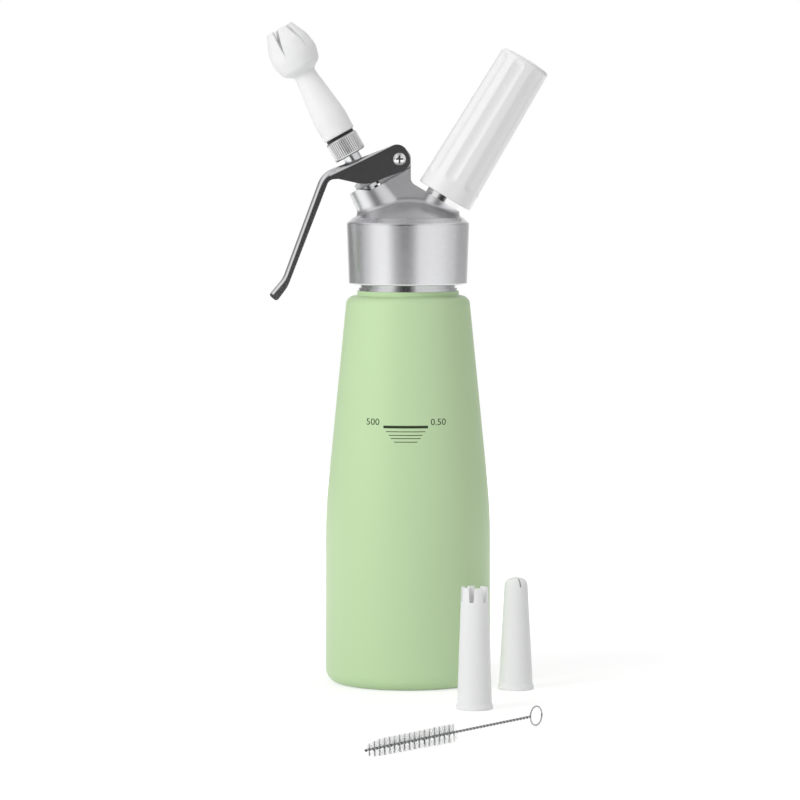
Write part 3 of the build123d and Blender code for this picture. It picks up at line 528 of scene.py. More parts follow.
def turned_piece(name: str, outline: Outline, steps: int) -> Piece:
    """Turns an outline of (radius, height) points about Z.

    Args:
        name: Name of the new piece.
        outline: Points from the axis round to the axis, or a closed ring of points off it.
        steps: Facets round the axis.

    Returns:
        The piece as a closed shell.
    """
    ring = outline[0][0] > MERGE
    piece = wire_path(name, outline + outline[:1] if ring else outline)
    bpy.ops.mesh.select_all(action="SELECT")
    bpy.ops.mesh.spin(steps=steps, angle=2 * math.pi, center=(0, 0, 0), axis=(0, 0, 1))
    tidy_shell()
    return piece


def plate(name: str, outline: Outline, thickness: float) -> Piece:
    """Extrudes an XZ outline to a plate centred on the plane y = 0.

    Args:
        name: Name of the new piece.
        outline: Corner points in order.
        thickness: Thickness along Y.

    Returns:
        The plate.
    """
    piece = wire_path(name, outline)
    bpy.ops.mesh.select_all(action="SELECT")
    bpy.ops.mesh.edge_face_add()
    shift(0, -thickness / 2, 0)
    extrude(0, thickness, 0)
    tidy_shell()
    return piece


def wind(piece: Piece, axis: str, turns: float, length: float, steps: int) -> None:
    """Winds rings of wire to coils with closed ends, and leaves them open for editing.

    Args:
        piece: The rings.
        axis: "X" or "Z".
        turns: Turns of the coils.
        length: Their length along the axis.
        steps: Stretches along a coil.
    """
    apply_modifier(
        piece, "SCREW", axis=axis, angle=2 * math.pi * turns, screw_offset=length, steps=steps,
        render_steps=steps, use_merge_vertices=False,
    )
    edit(piece)
    bpy.ops.mesh.select_all(action="DESELECT")
    bpy.ops.mesh.select_mode(type="EDGE")
    bpy.ops.mesh.select_non_manifold(use_verts=False)
    bpy.ops.mesh.edge_face_add()


def apply_modifier(piece: Piece, kind: str, **settings: object) -> None:
    """Adds a modifier to a piece and applies it.

    Args:
        piece: The piece.
        kind: Blender's name of the modifier.
        settings: The modifier's attributes.
    """
    only(piece)
    modifier = piece.modifiers.new(kind.lower(), kind)
    for key, value in settings.items():
        setattr(modifier, key, value)
    bpy.ops.object.modifier_apply(modifier=modifier.name)


def cut(piece: Piece, *cutters: Piece) -> None:
    """Cuts bodies out of a piece and removes them.

    Args:
        piece: The piece.
        cutters: The bodies.
    """
    for cutter in cutters:
        apply_modifier(piece, "BOOLEAN", operation="DIFFERENCE", solver="EXACT", object=cutter)
        bpy.data.objects.remove(cutter)


def soften(piece: Piece, width: float, segments: int, angle: float) -> None:
    """Rounds the piece's sharp edges.

    Args:
        piece: The piece.
        width: Width of the rounding in millimetres.
        segments: Facets across it.
        angle: Edges that turn more than this are rounded, in degrees.
    """
    apply_modifier(
        piece, "BEVEL", width=width, segments=segments, limit_method="ANGLE",
        angle_limit=math.radians(angle), use_clamp_overlap=True,
    )


def place(piece: Piece, at: Matrix) -> None:
    """Puts a piece that was modelled in millimetres in its place.

    Args:
        piece: The piece.
        at: Its frame, in millimetres.
    """
    only(piece)
    piece.matrix_world = Matrix.Scale(MM, 4) @ at
    settle()


def hand_over(
    piece: Piece, finish: Metal | Plain, body: str, stands_for: Sequence[str] = (),
    smooth: float = 35.0,
) -> None:
    """Dresses a finished piece, hangs it on its CAD body and hides the CAD nodes that it replaces.

    Args:
        piece: The piece, in its place.
        finish: Its finish.
        body: CAD body that it moves with.
        stands_for: CAD nodes that it replaces.
        smooth: Edges that turn less than this are shaded smooth, in degrees.
    """
    only(piece)
    bpy.ops.object.shade_smooth_by_angle(angle=math.radians(smooth))
    apply_modifier(piece, "WEIGHTED_NORMAL", mode="FACE_AREA", weight=50, keep_sharp=True)
    piece.data.materials.clear()
    piece.data.materials.append(finish.value.material())
    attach(piece, body)
    if stands_for:
        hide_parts(*stands_for)
    LOG.info("%s: %d faces, %s", piece.name, len(piece.data.polygons), finish.value.name)


# ---- bottle's print
@dataclass
class FillMark:
    """Printed mark of the most cream that goes in: a bar, four lines below it, plain numbers."""

    bar_z: float = 130.8
    bar_width: float = 22.0
    bar_height: float = 1.3
    line_height: float = 0.36
    lines: tuple[Spot, ...] = ((2.3, 19.3), (4.05, 16.6), (5.6, 14.7), (7.35, 11.5))
    centre_x: float = -1.2
    text_size: float = 4.455
    number_rise: float = 0.9
    number_left: float = -17.4
    number_right: float = 14.9
    before: float = 60.0            # from the bottle's axis to where the flat print starts
    columns: int = 20
    ink_thickness: float = 0.03

    def stand(self, piece: Piece, x: float, z: float) -> None:
        """Stands a flat print up in front of the bottle, at x and z in millimetres."""
        upright = Matrix.Rotation(math.pi / 2, 4, "X")
        place(piece, Matrix.Translation((x, -self.before, z)) @ upright)

    def strip(self, name: str, width: float, height: float, z: float) -> Piece:
        """One printed line.

        Args:
            name: Name of the piece.
            width: Its width in millimetres.
            height: Its height in millimetres.
            z: Height of its middle in millimetres.

        Returns:
            The line, flat, in front of the bottle.
        """
        piece = new_piece(name, bpy.ops.mesh.primitive_plane_add, size=1)
        edit(piece)
        bpy.ops.mesh.subdivide(number_cuts=self.columns)
        bpy.ops.transform.resize(value=(width, height, 1))
        close()
        self.stand(piece, self.centre_x, z)
        return piece

    def number(self, name: str, text: str, x: float) -> Piece:
        """One printed number.

        Args:
            name: Name of the piece.
            text: Its figures.
            x: Place of its middle in millimetres.

        Returns:
            The number as a flat mesh in front of the bottle.
        """
        piece = new_piece(name, bpy.ops.object.text_add)
        piece.data.body = text
        piece.data.size = self.text_size
        piece.data.align_x = "CENTER"
        bpy.ops.object.convert(target="MESH")
        piece = bpy.context.object
        self.stand(piece, x, self.bar_z + self.number_rise)
        return piece

    def build(self) -> None:
        """Prints the bar, the lines and the numbers on the bottle's wall."""
        prints = [self.strip("fill_bar", self.bar_width, self.bar_height, self.bar_z)]
        for at, (drop, width) in enumerate(self.lines, start=1):
            z = self.bar_z - drop
            prints.append(self.strip(f"fill_line_{at}", width, self.line_height, z))
        prints.append(self.number("fill_number_left", "500", self.number_left))
        prints.append(self.number("fill_number_right", "0.50", self.number_right))
        for piece in prints:
            apply_modifier(
                piece, "SHRINKWRAP", target=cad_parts["bottle"], wrap_method="PROJECT",
                use_project_x=False, use_project_y=True, use_project_z=False,
                use_positive_direction=True, use_negative_direction=False,
                offset=self.ink_thickness * MM, cull_face="BACK",
            )
            hand_over(piece, Plain.INK, "bottle")


# ---- lever
@dataclass
class Lever:
    """Stamped and folded lever, drawn from its pivot: along its back, then square to it."""

    pivot_x: float = -4.2
    pivot_z: float = 262.4
    slope: float = 21.0
    gap: float = 10.7
    sheet: float = 1.6
    back_h: float = 7.6
    plate_drop: float = 6.2
    heel: float = 4.95
    heel_round: float = 5.6
    back_l: float = 38.6
    toe: float = 20.1
    toe_round: float = 14.0
    neck_l: float = 32.0
    neck_edge: float = 1.7
    bend_inner_l: float = 36.6
    bend_inner_edge: float = 3.0
    edge_round: float = 4.0
    handle_turn: float = 48.6
    handle_l: float = 56.3
    tip_l: float = 10.6
    tip_turn: float = 20.0
    tip_round: float = 1.6
    handle_depth: float = 3.8
    tip_depth: float = 5.2
    elbow_reach: float = 2.6
    bend_round: float = 12.2
    tip_bend_round: float = 12.0
    fold_round: float = 3.9
    handle_fold_round: float = 2.4
    fold_facets: int = 6
    slot_width: float = 9.4
    slot_extra: float = 1.3
    slot_cut_at: float = 70.0
    slot_cut_l: float = 60.0
    axle_r: float = 2.25
    arc_step: float = 8.0
    edge_soft: float = 0.22

    def along(self, start: Spot, heading: float, length: float) -> Spot:
        """Point at a length from a start, the heading counted downwards from the back."""
        fall = math.radians(heading)
        return start[0] + length * math.cos(fall), start[1] - length * math.sin(fall)

    def outer_line(self) -> list[Corner]:
        """Draws the back, the handle and the bent tip, as seen from the side.

        Returns:
            Their corners.
        """
        bend = (self.back_l, self.back_h)
        elbow = self.along(bend, self.handle_turn, self.handle_l)
        tip = self.along(elbow, self.handle_turn - self.tip_turn, self.tip_l)
        return [
            (-self.heel, self.back_h, self.heel_round), (*bend, self.bend_round),
            (*elbow, self.tip_bend_round), (*tip, self.tip_round),
        ]

    def side(self) -> Outline:
        """Draws the whole lever from the side.

        Returns:
            Its outline.
        """
        line = self.outer_line()
        tip_square = self.handle_turn - self.tip_turn + 90
        tip_inner = self.along(line[3][:2], tip_square, self.tip_depth)
        past_elbow = self.along(line[2][:2], self.handle_turn, self.elbow_reach)
        elbow_square = self.handle_turn - self.tip_turn / 2 + 90
        elbow_inner = self.along(past_elbow, elbow_square, self.handle_depth)
        inner_line = [
            (*tip_inner, self.tip_round), (*elbow_inner, self.tip_bend_round),
            (self.bend_inner_l, self.bend_inner_edge, self.edge_round),
            (self.neck_l, self.neck_edge, self.edge_round),
            (self.toe, -self.plate_drop, self.toe_round),
            (-self.heel, -self.plate_drop, self.heel_round),
        ]
        return rounded(line + inner_line, step=self.arc_step)

    def hollow(self) -> Outline:
        """Draws the room under the back and the handle from the side.

        Returns:
            Its outline.
        """
        half_bend = math.tan(math.radians(self.handle_turn / 2)) * self.sheet
        half_tip = math.tan(math.radians(self.tip_turn / 2)) * self.sheet
        bend = (self.back_l - half_bend, self.back_h - self.sheet)
        elbow = self.along(bend, self.handle_turn, self.handle_l - half_bend + half_tip)
        heading = self.handle_turn - self.tip_turn
        tip = self.along(elbow, heading, self.tip_l - self.sheet)
        corners = [
            (-2 * self.heel, self.back_h - self.sheet, 0), (*bend, self.bend_round - self.sheet),
            (*elbow, self.tip_bend_round), (*tip, 0),
            (*self.along(tip, heading + 90, 2 * self.tip_depth), 0),
            (*self.along(elbow, self.handle_turn + 90, 2 * self.handle_depth), 0),
            (self.neck_l, -self.plate_drop, 0), (self.toe, -2 * self.plate_drop, 0),
            (-2 * self.heel, -2 * self.plate_drop, 0),
        ]
        return rounded(corners, step=self.arc_step)

    def frame_at(self) -> Matrix:
        """Turns and moves the lever to its pivot.

        Returns:
            Its frame: +X along its back from the pivot, +Z square to the back.
        """
        fall = math.radians(self.slope)
        cos, sin = math.cos(fall), math.sin(fall)
        along, square = (-cos, 0, -sin, self.pivot_x), (-sin, 0, cos, self.pivot_z)
        return Matrix((along, (0, -1, 0, 0), square, (0, 0, 0, 1)))

    def round_folds(self, piece: Piece, width: float) -> None:
        """Rounds the long folds between the back and the side plates, tighter on the handle.

        Args:
            piece: The solid blank.
            width: Its whole width.
        """
        corners = rounded(self.outer_line(), closed=False, step=self.arc_step)
        line = [Vector(corner) for corner in corners]
        bend_l = self.bend_round * math.tan(math.radians(self.handle_turn / 2))
        fade_l = self.back_l + bend_l - self.neck_l
        tight = self.handle_fold_round / self.fold_round
        shape = piece.data
        weights = shape.attributes.new("bevel_weight_edge", "FLOAT", "EDGE")
        for edge in shape.edges:
            ends = [shape.vertices[at].co for at in edge.vertices]
            middle = (ends[0] + ends[1]) / 2
            if abs(abs(middle.y) - width / 2) > NEAR:
                continue
            spot = Vector((middle.x, middle.z))
            for first, second in zip(line, line[1:]):
                run = second - first
                share = held((spot - first).dot(run) / run.length_squared)
                if (first + run * share - spot).length < 2 * NEAR:
                    past = held((spot.x - self.neck_l) / fade_l)
                    weights.data[edge.index].value = 1 + (tight - 1) * past
        apply_modifier(
            piece, "BEVEL", width=self.fold_round, segments=self.fold_facets,
            limit_method="WEIGHT", use_clamp_overlap=False,
        )

    def stem_slot(self) -> Piece:
        """Makes the long hole through the back for the valve stem.

        Returns:
            The hole's body, along the valve's axis.
        """
        cutter = new_piece(
            "stem_slot", bpy.ops.mesh.primitive_cylinder_add, vertices=CUTTER_FACETS,
            radius=self.slot_width / 2, depth=self.slot_cut_l,
        )
        edit(cutter)
        for side in (1, -1):
            pick("verts", lambda spot: spot.x * side > NEAR)
            shift(side * self.slot_extra, 0, 0)
        close()
        along_valve = leaning(VALVE_TILT) @ Matrix.Translation((0, 0, self.slot_cut_at))
        cutter.matrix_world = self.frame_at().inverted() @ along_valve
        return cutter

    def build(self) -> None:
        """Folds the lever and puts it on its pivot."""
        width = self.gap + 2 * self.sheet
        piece = plate("lever_stamping", self.side(), width)
        self.round_folds(piece, width)
        room = plate("room", self.hollow(), self.gap)
        axle = new_piece(
            "axle_hole", bpy.ops.mesh.primitive_cylinder_add, vertices=CUTTER_FACETS,
            radius=self.axle_r, depth=2 * width, rotation=(math.pi / 2, 0, 0),
        )
        cut(piece, room, self.stem_slot(), axle)
        soften(piece, self.edge_soft, segments=2, angle=50.0)
        place(piece, self.frame_at())
        hand_over(piece, Metal.LEVER, "lever", ["lever"], smooth=32.0)


# ---- return spring
@dataclass
class ReturnSpring:
    """Coil spring in the valve boss, which shortens as the lever is squeezed."""

    floor: float = 27.0
    lid: float = 39.05
    end_gap: float = 0.05
    wire_r: float = 0.5
    coil_r: float = 5.9
    turns: float = 4.5
    travel: float = 2.4
    facets: int = 16
    steps: int = 216

    def build(self) -> None:
        """Winds the wire, closes its ends and sets the spring along the valve's axis."""
        low = self.floor + self.wire_r
        piece = new_piece(
            "return_spring", bpy.ops.mesh.primitive_circle_add, vertices=self.facets,
            radius=self.wire_r, location=(self.coil_r, 0, low), rotation=(math.pi / 2, 0, 0),
        )
        settle()
        length = self.lid - self.end_gap - self.wire_r - low
        wind(piece, "Z", self.turns, length, self.steps)
        tidy_shell()
        at = leaning(VALVE_TILT)
        place(piece, at)
        hand_over(piece, Metal.SPRING, "head", ["valve_spring"])
        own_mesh(piece)


# ---- adapter and tulip nozzle
@dataclass
class Adapter:
    """Knurled adapter ring with the spigot that the nozzles screw on."""

    foot: float = 58.1
    height: float = 10.2
    radius: float = 8.3
    edge_round: float = 1.2
    spigot_r: float = 6.2
    spigot_h: float = 9.2
    spigot_round: float = 0.4
    bore_r: float = 3.0
    stem_r: float = 4.5
    stem_top: float = 66.0
    ribs: int = 46
    rib_depth: float = 0.4
    groove: float = 0.1             # half a groove's floor, as a share of the pitch

    def build(self) -> None:
        """Turns the ring and presses the knurl in it."""
        top = self.foot + self.height
        end = top + self.spigot_h
        outline = rounded(
            [
                (self.stem_r, self.foot, 0), (self.radius, self.foot, self.edge_round),
                (self.radius, top, self.edge_round), (self.spigot_r, top, 0),
                (self.spigot_r, end, self.spigot_round), (self.bore_r, end, 0),
                (self.bore_r, self.stem_top, 0), (self.stem_r, self.stem_top, 0),
            ]
        )
        piece = turned_piece("knurled_adapter", outline, steps=3 * self.ribs)
        pitch = 2 * math.pi / self.ribs

        def in_groove(spot: Vector) -> bool:
            """Whether a corner of the rim stands at the bottom of a groove."""
            share, rim = math.atan2(spot.y, spot.x) / pitch, self.radius - NEAR
            return math.hypot(spot.x, spot.y) >= rim and abs(share - round(share)) < self.groove

        edit(piece)
        pick("verts", in_groove)
        shrink = 1 - self.rib_depth / self.radius
        bpy.ops.transform.resize(value=(shrink, shrink, 1), center_override=(0, 0, 0))
        close()
        place(piece, leaning(VALVE_TILT))
        hand_over(piece, Metal.KNURLED, "valve", ["adapter_ring"], smooth=24.0)


@dataclass
class TulipNozzle:
    """Decorating nozzle: a slim waist under a bulb that opens in petals."""

    foot: float = 69.55
    foot_r: float = 8.3
    foot_round: float = 0.8
    belly_r: float = 8.6
    belly_h: float = 10.0
    belly_round: float = 30.0
    neck_r: float = 5.4
    bulb_r: float = 12.1
    height: float = 60.7
    skin: tuple[Corner, ...] = (        # radius, height and rounding
        (neck_r, 35.4, 2.0), (10.2, 38.5, 4.0), (bulb_r, 45.3, 9.0), (10.9, 52.5, 12.0),
        (7.1, height, 0.0),
    )
    lifts: Sequence[float] = (0, 0.5, 0, 0, 0)      # of the inside, as shares of the wall
    socket_d: float = 9.8
    socket_r: float = 6.28
    socket_round: float = 0.3
    wall: float = 1.9
    petals: int = 6
    slot_foot_h: float = 46.6
    slot_width: float = 3.74        # a little above the rim
    slot_above: float = 1.4
    slot_turn: float = -20.0
    petal_soft: float = 0.4

    def drawn_in(self, wall: float) -> list[Corner]:
        """The skin's corners, drawn in by a wall."""
        pairs = zip(self.skin, self.lifts)
        return [(radius - wall, z + lift * wall, bend) for (radius, z, bend), lift in pairs]

    def build(self) -> None:
        """Turns the wall of the nozzle, opens the petals and rounds their edges."""
        outline = [
            (self.foot_r, 0, self.foot_round),
            (self.belly_r, self.belly_h, self.belly_round),
            *self.skin,
            *self.drawn_in(self.wall)[::-1],
            (self.neck_r - self.wall, self.socket_d, 0.0),
            (self.socket_r, self.socket_d, 0.0),
            (self.socket_r, 0, self.socket_round),
        ]
        piece = turned_piece("tulip_nozzle_body", rounded(outline, step=5.0), steps=144)
        half = self.slot_width / 2
        foot, top = self.slot_foot_h - self.height, self.slot_above
        wedge = [(0, foot), (half, top), (-half, top)]
        for petal in range(self.petals):
            cutter = plate("petal_slot", wedge, 2 * self.bulb_r)
            edit(cutter)
            shift(0, -self.bulb_r, self.height)
            close()
            turn = math.radians(self.slot_turn + petal * 360 / self.petals)
            cutter.matrix_world = Matrix.Rotation(turn, 4, "Z")
            cut(piece, cutter)
        soften(piece, self.petal_soft, segments=3, angle=45.0)
        place(piece, leaning(VALVE_TILT) @ Matrix.Translation((0, 0, self.foot)))
        hand_over(piece, Plain.NOZZLE, "nozzle", ["tulip_nozzle"], smooth=40.0)


# ---- charger holder
@dataclass
class ChargerHolder:
    """Fluted holder that screws down over the gas charger."""

    foot: float = 35.35
    length: float = 79.7
    foot_r: float = 14.6
    foot_round: float = 0.6
    top_r: float = 13.2
    dome_h: float = 1.2
    dome_bend: Spot = (0.55, 0.25)  # shares of the top's radius and of the dome's height
    dome_round: float = 8.0
    edge_r: float = 2.0
    insert_r: float = 11.88
    insert_h: float = 11.5
    mouth_round: float = 0.3
    room_r: float = 9.4
    room_h: float = 68.1
    hollow_r: float = 6.0
    top_wall: float = 3.0
    flutes: int = 8
    flute_w: float = 6.3
    flute_d: float = 0.95
    flute_foot: float = 7.5
    flute_top: float = 77.0
    flute_turn: float = -9.0
    flute_facets: int = 24
    row: float = 0.7                # between rows of corners at the flutes' ends
    end_rows: int = 9
    row_margin: float = 1.0
    long_row: float = 6.0           # and between them
    long_rows: int = 10
    long_start: float = 8.0
    clear: float = 0.1
    edge_soft: float = 0.1

    def side_at(self, height: float) -> float:
        """Radius of the tapered side at a height."""
        taper = (self.top_r - self.foot_r) * height / (self.length - self.dome_h)
        return self.foot_r + taper

    def flute_depth(self, spot: Vector) -> float:
        """Depth of the nearest flute at a place on the side.

        Args:
            spot: The place.

        Returns:
            How far the side lies in, with a soft edge round the flute.
        """
        pitch = 2 * math.pi / self.flutes
        turn = math.atan2(spot.x, -spot.y) - math.radians(self.flute_turn)
        across = (turn - round(turn / pitch) * pitch) * self.side_at(spot.z)
        low = self.flute_foot + self.flute_w / 2
        high = self.flute_top - self.flute_w / 2
        beyond = max(0.0, low - spot.z, spot.z - high)
        share = math.hypot(across, beyond) / (self.flute_w / 2)
        raw = self.flute_d * (1 - share**2)
        return (raw + math.hypot(raw, self.edge_soft)) / 2

    def build(self) -> None:
        """Turns the holder with close rows where the flutes end, then presses the flutes in."""
        edge_z = self.length - self.dome_h
        rows = []
        for at in range(self.end_rows):
            rows.append(self.flute_foot - self.row_margin + at * self.row)
            rows.append(self.flute_top + self.row_margin - at * self.row)
        start = self.flute_foot + self.long_start
        rows += [start + at * self.long_row for at in range(self.long_rows)]
        heights = sorted({round(z, 2) for z in rows if z < edge_z - self.edge_r - self.clear})
        floor = edge_z - self.top_wall
        bend_r, bend_h = self.dome_bend
        corners = [
            (0, floor, 0), (self.hollow_r, floor, 0), (self.hollow_r, self.room_h, 0),
            (self.room_r, self.room_h, 0), (self.room_r, self.insert_h, 0),
            (self.insert_r, self.insert_h, 0), (self.insert_r, 0, self.mouth_round),
            (self.foot_r, 0, self.foot_round), *[(self.side_at(z), z, 0) for z in heights],
            (self.top_r, edge_z, self.edge_r),
            (self.top_r * bend_r, self.length - self.dome_h * bend_h, self.dome_round),
            (0, self.length, 0),
        ]
        outline = rounded(corners, closed=False)
        piece = turned_piece("fluted_holder", outline, steps=self.flute_facets * self.flutes)
        for corner in piece.data.vertices:
            spot = corner.co
            radius = math.hypot(spot.x, spot.y)
            on_side = self.row_margin < spot.z < edge_z - 2 * self.clear
            if on_side and radius > self.insert_r + 4 * self.clear:
                shrink = 1 - self.flute_depth(spot) / radius
                corner.co = (spot.x * shrink, spot.y * shrink, spot.z)
        place(piece, leaning(PORT_TILT) @ Matrix.Translation((0, 0, self.foot)))
        hand_over(
            piece, Plain.HOLDER, "holder", ["charger_holder"], smooth=50.0
        )


# ---- cleaning brush
@dataclass
class Brush:
    """Cleaning brush of two twisted wires, drawn from the middle of its ring along +X."""

    length: float = 125.0
    ring_r: float = 4.4
    wire_r: float = 0.38
    wire_facets: int = 10
    twist_pitch: float = 5.0
    twist_steps: int = 14           # in one turn
    bristle_r: float = 4.15
    bristle_l: float = 62.0
    tip_r: float = 2.6
    taper_l: float = 9.0
    tip_gap: float = 1.2
    filament_r: float = 0.1
    filament_taper: float = 0.4
    filament_step: float = 0.13
    filament_splay: float = 0.16
    doublings: int = 9
    tuft_pitch: float = 7.1
    tuft_gather: float = 0.93
    tuft_upright: float = 0.95
    lower_splay: float = 2.5
    lean_wave: float = 2.4          # rad from one filament to the next
    end_wave: float = 1.7           # rad from a filament's top to its foot
    side_wave: float = 3.9

    def frame_at(self) -> Matrix:
        """Turns the brush as it lies: its ring on edge, its bristles on the floor.

        Returns:
            Its frame.
        """
        turned = Matrix.Rotation(math.radians(BRUSH_HEADING), 4, "Z")
        dipped = Matrix.Rotation(math.radians(BRUSH_DIP), 4, "Y")
        return Matrix.Translation(BRUSH_AT) @ turned @ dipped

    def wire(self) -> Piece:
        """Twists two wires about each other and joins them by a ring.

        Returns:
            The wire.
        """
        strand = new_piece(
            "twisted_wire", bpy.ops.mesh.primitive_circle_add, vertices=self.wire_facets,
            radius=self.wire_r, location=(0, 0, self.wire_r), rotation=(0, math.pi / 2, 0),
        )
        settle()
        edit(strand)
        second = {"value": (0, 0, -2 * self.wire_r)}
        bpy.ops.mesh.duplicate_move(TRANSFORM_OT_translate=second)
        close()
        run = self.length - self.ring_r
        turns = run / self.twist_pitch
        wind(strand, "X", turns, run, int(turns * self.twist_steps))
        bpy.ops.mesh.select_all(action="SELECT")
        shift(self.ring_r, 0, 0)
        tidy_shell()
        new_piece(
            "ring", bpy.ops.mesh.primitive_torus_add, major_radius=self.ring_r,
            minor_radius=self.wire_r, major_segments=64, minor_segments=12,
            rotation=(math.pi / 2, 0, 0),
        )
        strand.select_set(True)
        bpy.context.view_layer.objects.active = strand
        bpy.ops.object.join()
        settle()
        return strand

    def comb(self, low: float, filament: int, ends: Sequence[Vector]) -> None:
        """Turns a filament upright, gathers it in its tuft, splays it and trims it to the taper.

        Args:
            low: Start of the bristles along the wire.
            filament: Its number.
            ends: Its six corners, top and foot in turn.
        """
        turn = 2 * math.pi * self.filament_step / self.tuft_pitch
        top = ends[1] + ends[3] + ends[5]
        upright = math.sin(2 * math.atan2(top.y, top.z)) * self.tuft_upright / 2
        gather_l = self.tuft_gather * self.tuft_pitch / (4 * math.pi)
        gathered = math.sin(2 * turn * filament) * gather_l
        for at, spot in enumerate(ends):
            spot.yz = Matrix.Rotation(upright, 2) @ spot.yz
            wave = self.lean_wave * filament + self.end_wave * (at % 2)
            lean = math.sin(wave) * self.filament_splay
            if spot.z < 0:
                lean *= self.lower_splay
            spot.x += lean - gathered
            spot.y += lean * math.cos(self.side_wave * filament)
            past = held((spot.x - (low + self.bristle_l - self.taper_l)) / self.taper_l)
            reach = self.bristle_r + (self.tip_r - self.bristle_r) * past
            radius = math.hypot(spot.y, spot.z)
            if radius > reach:
                spot.yz *= reach / radius
            margin = self.filament_r
            spot.x = held(spot.x, low + margin, low + self.bristle_l - margin)

    def bristles(self) -> Piece:
        """Sets filaments across the wire in a long double row that winds round it.

        Returns:
            The bristles.
        """
        low = self.length - self.tip_gap - self.bristle_l
        piece = new_piece(
            "filaments", bpy.ops.mesh.primitive_cylinder_add, vertices=3,
            radius=self.filament_r, depth=2 * self.bristle_r, location=(low, 0, 0),
        )
        settle()
        edit(piece)
        pick("faces", lambda middle: abs(abs(middle.z) - self.bristle_r) < NEAR)
        taper = self.filament_taper
        bpy.ops.transform.resize(value=(taper, taper, 1.0), center_override=(low, 0, 0))
        step = self.filament_step
        turn = 2 * math.pi * step / self.tuft_pitch
        for doubling in range(self.doublings):
            count = 2**doubling
            bpy.ops.mesh.select_all(action="SELECT")
            bpy.ops.mesh.duplicate_move(TRANSFORM_OT_translate={"value": (count * step, 0, 0)})
            bpy.ops.transform.rotate(
                value=-turn * count, orient_axis="X", center_override=(low, 0, 0)
            )
        end = low + (int(self.bristle_l / step) - 0.5) * step
        pick("verts", lambda spot: spot.x > end)
        bpy.ops.mesh.delete(type="VERT")
        close()
        corners = [corner.co for corner in piece.data.vertices]
        for filament in range(len(corners) // 6):
            self.comb(low, filament, corners[6 * filament:6 * filament + 6])
        return piece

    def build(self) -> None:
        """Makes the wire and the bristles and lays the brush down."""
        wire = self.wire()
        place(wire, self.frame_at())
        hand_over(wire, Metal.WIRE, "brush", ["brush_wire"])
        hair = self.bristles()
        place(hair, self.frame_at())
        hand_over(hair, Plain.NYLON, "brush", ["brush_bristles"])


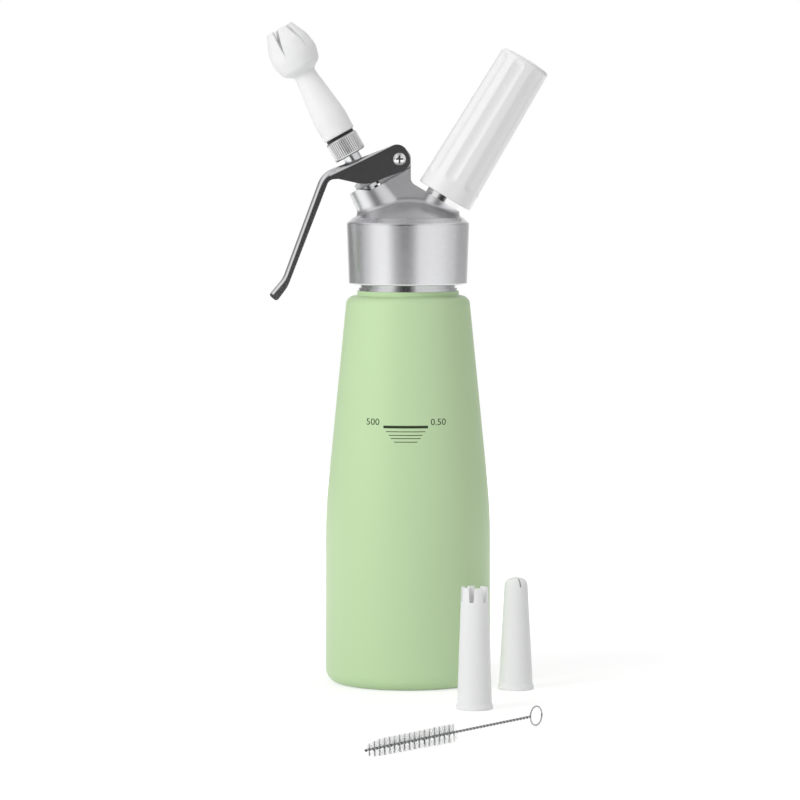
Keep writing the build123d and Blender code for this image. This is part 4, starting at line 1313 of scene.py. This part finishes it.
# ---- studio
@dataclass
class Studio:
    """White sweep, soft lamps and the camera, in metres."""

    camera_x: float = -0.004
    camera_back: float = 2.0
    camera_height: float = 0.27
    aim_height: float = 0.14185
    lens: float = 180.0
    floor_size: float = 2.6
    floor_lift: float = 0.66
    shadow_reach: Spot = (0.14, 0.4)
    ceiling_band: Spot = (0.35, 0.8)    # share of a direction's rise
    ceiling_middle: float = 0.42
    ceiling_rise: float = 0.9           # towards the sides
    room_light: float = 0.42
    lamp_aim: float = 0.16
    shoulder_aim: float = 0.17

    def world(self) -> None:
        """A white surround whose front is dimmer, as behind a camera."""
        world = bpy.data.worlds.new("studio")
        bpy.context.scene.world = world
        world.use_nodes = True
        tree = world.node_tree
        x, y, z = add(tree, "SeparateXYZ", {0: add(tree, "TexCoord")["Generated"]})
        front = add(tree, "Math", {0: y, 1: -1.0}, operation="MULTIPLY")[0]
        azimuth = add(tree, "Math", {0: x, 1: front}, operation="ARCTAN2")[0]
        turn = {"Value": azimuth, "From Min": -math.pi, "From Max": math.pi}
        look = add(tree, "ValToRGB", {0: add(tree, "MapRange", turn)[0]})["Color"]
        ramp = look.node.color_ramp
        ramp.interpolation = "EASE"
        while len(ramp.elements) < len(SURROUND):
            ramp.elements.new(0.5)
        for mark, (angle, level) in zip(ramp.elements, SURROUND):
            mark.position = (angle + 180) / 360
            mark.color = (level, level, level, 1)
        low, high = self.ceiling_band
        rise = {"Value": z, "From Min": low, "From Max": high}
        up = add(tree, "MapRange", rise, interpolation_type="SMOOTHSTEP")[0]
        aside = add(tree, "Math", {0: x}, operation="ABSOLUTE")[0]
        slope = {0: aside, 1: self.ceiling_rise, 2: self.ceiling_middle}
        ceiling = add(tree, "Math", slope, operation="MULTIPLY_ADD")[0]
        rays = add(tree, "LightPath")
        dim = (self.room_light,) * 3 + (1,)
        for factor, over in (
            (up, ceiling), (rays["Is Diffuse Ray"], dim), (rays["Is Camera Ray"], WHITE),
        ):
            look = add(tree, "Mix", {"Factor": factor, 6: look, 7: over}, data_type="RGBA")[2]
        wire(tree.nodes["Background"], {"Color": look, "Strength": 1.0})

    def floor(self) -> None:
        """A white floor that keeps the shadow."""
        floor = new_piece("studio_floor", bpy.ops.mesh.primitive_plane_add, size=self.floor_size)
        made = bpy.data.materials.new("white_sweep")
        made.use_nodes = True
        tree = made.node_tree
        rays = add(tree, "LightPath")
        direct = add(tree, "Math", {0: rays["Is Camera Ray"], 1: rays["Is Glossy Ray"]})[0]
        both = {0: direct, 1: rays["Is Transmission Ray"]}
        watched = add(tree, "Math", both, use_clamp=True)[0]
        place = {0: add(tree, "TexCoord")["Object"]}
        distance = add(tree, "VectorMath", place, operation="LENGTH")["Value"]
        low, high = self.shadow_reach
        reach = {"Value": distance, "From Min": low, "From Max": high, "To Min": self.floor_lift}
        lift = add(tree, "MapRange", reach, interpolation_type="SMOOTHSTEP")[0]
        tones = {"Factor": watched, 6: linear("#F7F7F7"), 7: linear("#B0B0B0")}
        wire(tree.nodes["Principled BSDF"], {
            "Base Color": add(tree, "Mix", tones, data_type="RGBA")[2],
            "Roughness": 0.7,
            "Emission Color": WHITE,
            "Emission Strength": add(tree, "Math", {0: watched, 1: lift}, operation="MULTIPLY")[0],
        })
        floor.data.materials.append(made)

    def lamp(self, name: str, kind: str, spot: Corner, aim: float, **settings: float) -> None:
        """Adds a lamp that no mirror shows and that looks at the bottle's axis.

        Args:
            name: Name of the lamp.
            kind: Blender's name of its kind.
            spot: Its place in metres.
            aim: Height that it looks at, in metres.
            settings: Attributes of its light, such as its energy in watts.
        """
        bpy.ops.object.light_add(type=kind, location=spot)
        lamp = bpy.context.object
        lamp.name = name
        lamp.visible_glossy = False
        line = Vector((0, 0, aim)) - Vector(spot)
        lamp.rotation_euler = line.to_track_quat("-Z", "Y").to_euler()
        for key, value in settings.items():
            setattr(lamp.data, key, value)

    def lamps(self) -> None:
        """Three square soft lamps, and a spot that lifts the left of the bottle's upper half."""
        middle = self.lamp_aim
        self.lamp("key_lamp", "AREA", (-1.3, -1.1, 1.0), middle, size=1.0, energy=15.5)
        self.lamp("fill_lamp", "AREA", (1.6, -0.9, 0.7), middle, size=1.2, energy=2.4)
        self.lamp(
            "shoulder_lamp", "SPOT", (-0.8, -0.9, 0.5), self.shoulder_aim, energy=4.6,
            spot_size=math.radians(13), spot_blend=1.0, shadow_soft_size=0.1,
        )
        self.lamp("top_lamp", "AREA", (0.1, 0.3, 1.9), middle, size=1.2, energy=6.0)

    def camera(self) -> None:
        """The camera: a long lens from a little above the head's level."""
        spot = Vector((self.camera_x, -self.camera_back, self.camera_height))
        aim = Vector((self.camera_x, 0, self.aim_height)) - spot
        bpy.ops.object.camera_add(location=spot)
        camera = bpy.context.object
        camera.rotation_euler = aim.to_track_quat("-Z", "Y").to_euler()
        camera.data.lens = self.lens
        camera.data.sensor_width = 36.0
        camera.data.clip_start = 0.05
        camera.data.clip_end = 50.0
        bpy.context.scene.camera = camera

    def build(self) -> None:
        """Sets up the sweep, the lamps and the camera."""
        bpy.context.scene.view_settings.view_transform = "Standard"
        self.world()
        self.floor()
        self.lamps()
        self.camera()


def dress_cad_nodes() -> None:
    """Gives each CAD node that stays in view its finish."""
    for finish, names in CAD_FINISHES.items():
        for name in names:
            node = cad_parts[name]
            if not node.material_slots:
                node.data.materials.append(None)
            for slot in node.material_slots:
                slot.link = "OBJECT"
                slot.material = finish.value.material()
            LOG.info("%s: %s", name, finish.value.name)


def main() -> None:
    """Dresses the CAD nodes, builds the pieces and sets up the studio."""
    logging.basicConfig(level=logging.INFO, format="%(name)s %(message)s")
    dress_cad_nodes()
    for kind in (FillMark, Lever, ReturnSpring, Adapter, TulipNozzle, ChargerHolder, Brush):
        kind().build()
    Studio().build()


if __name__ == "__main__":
    main()
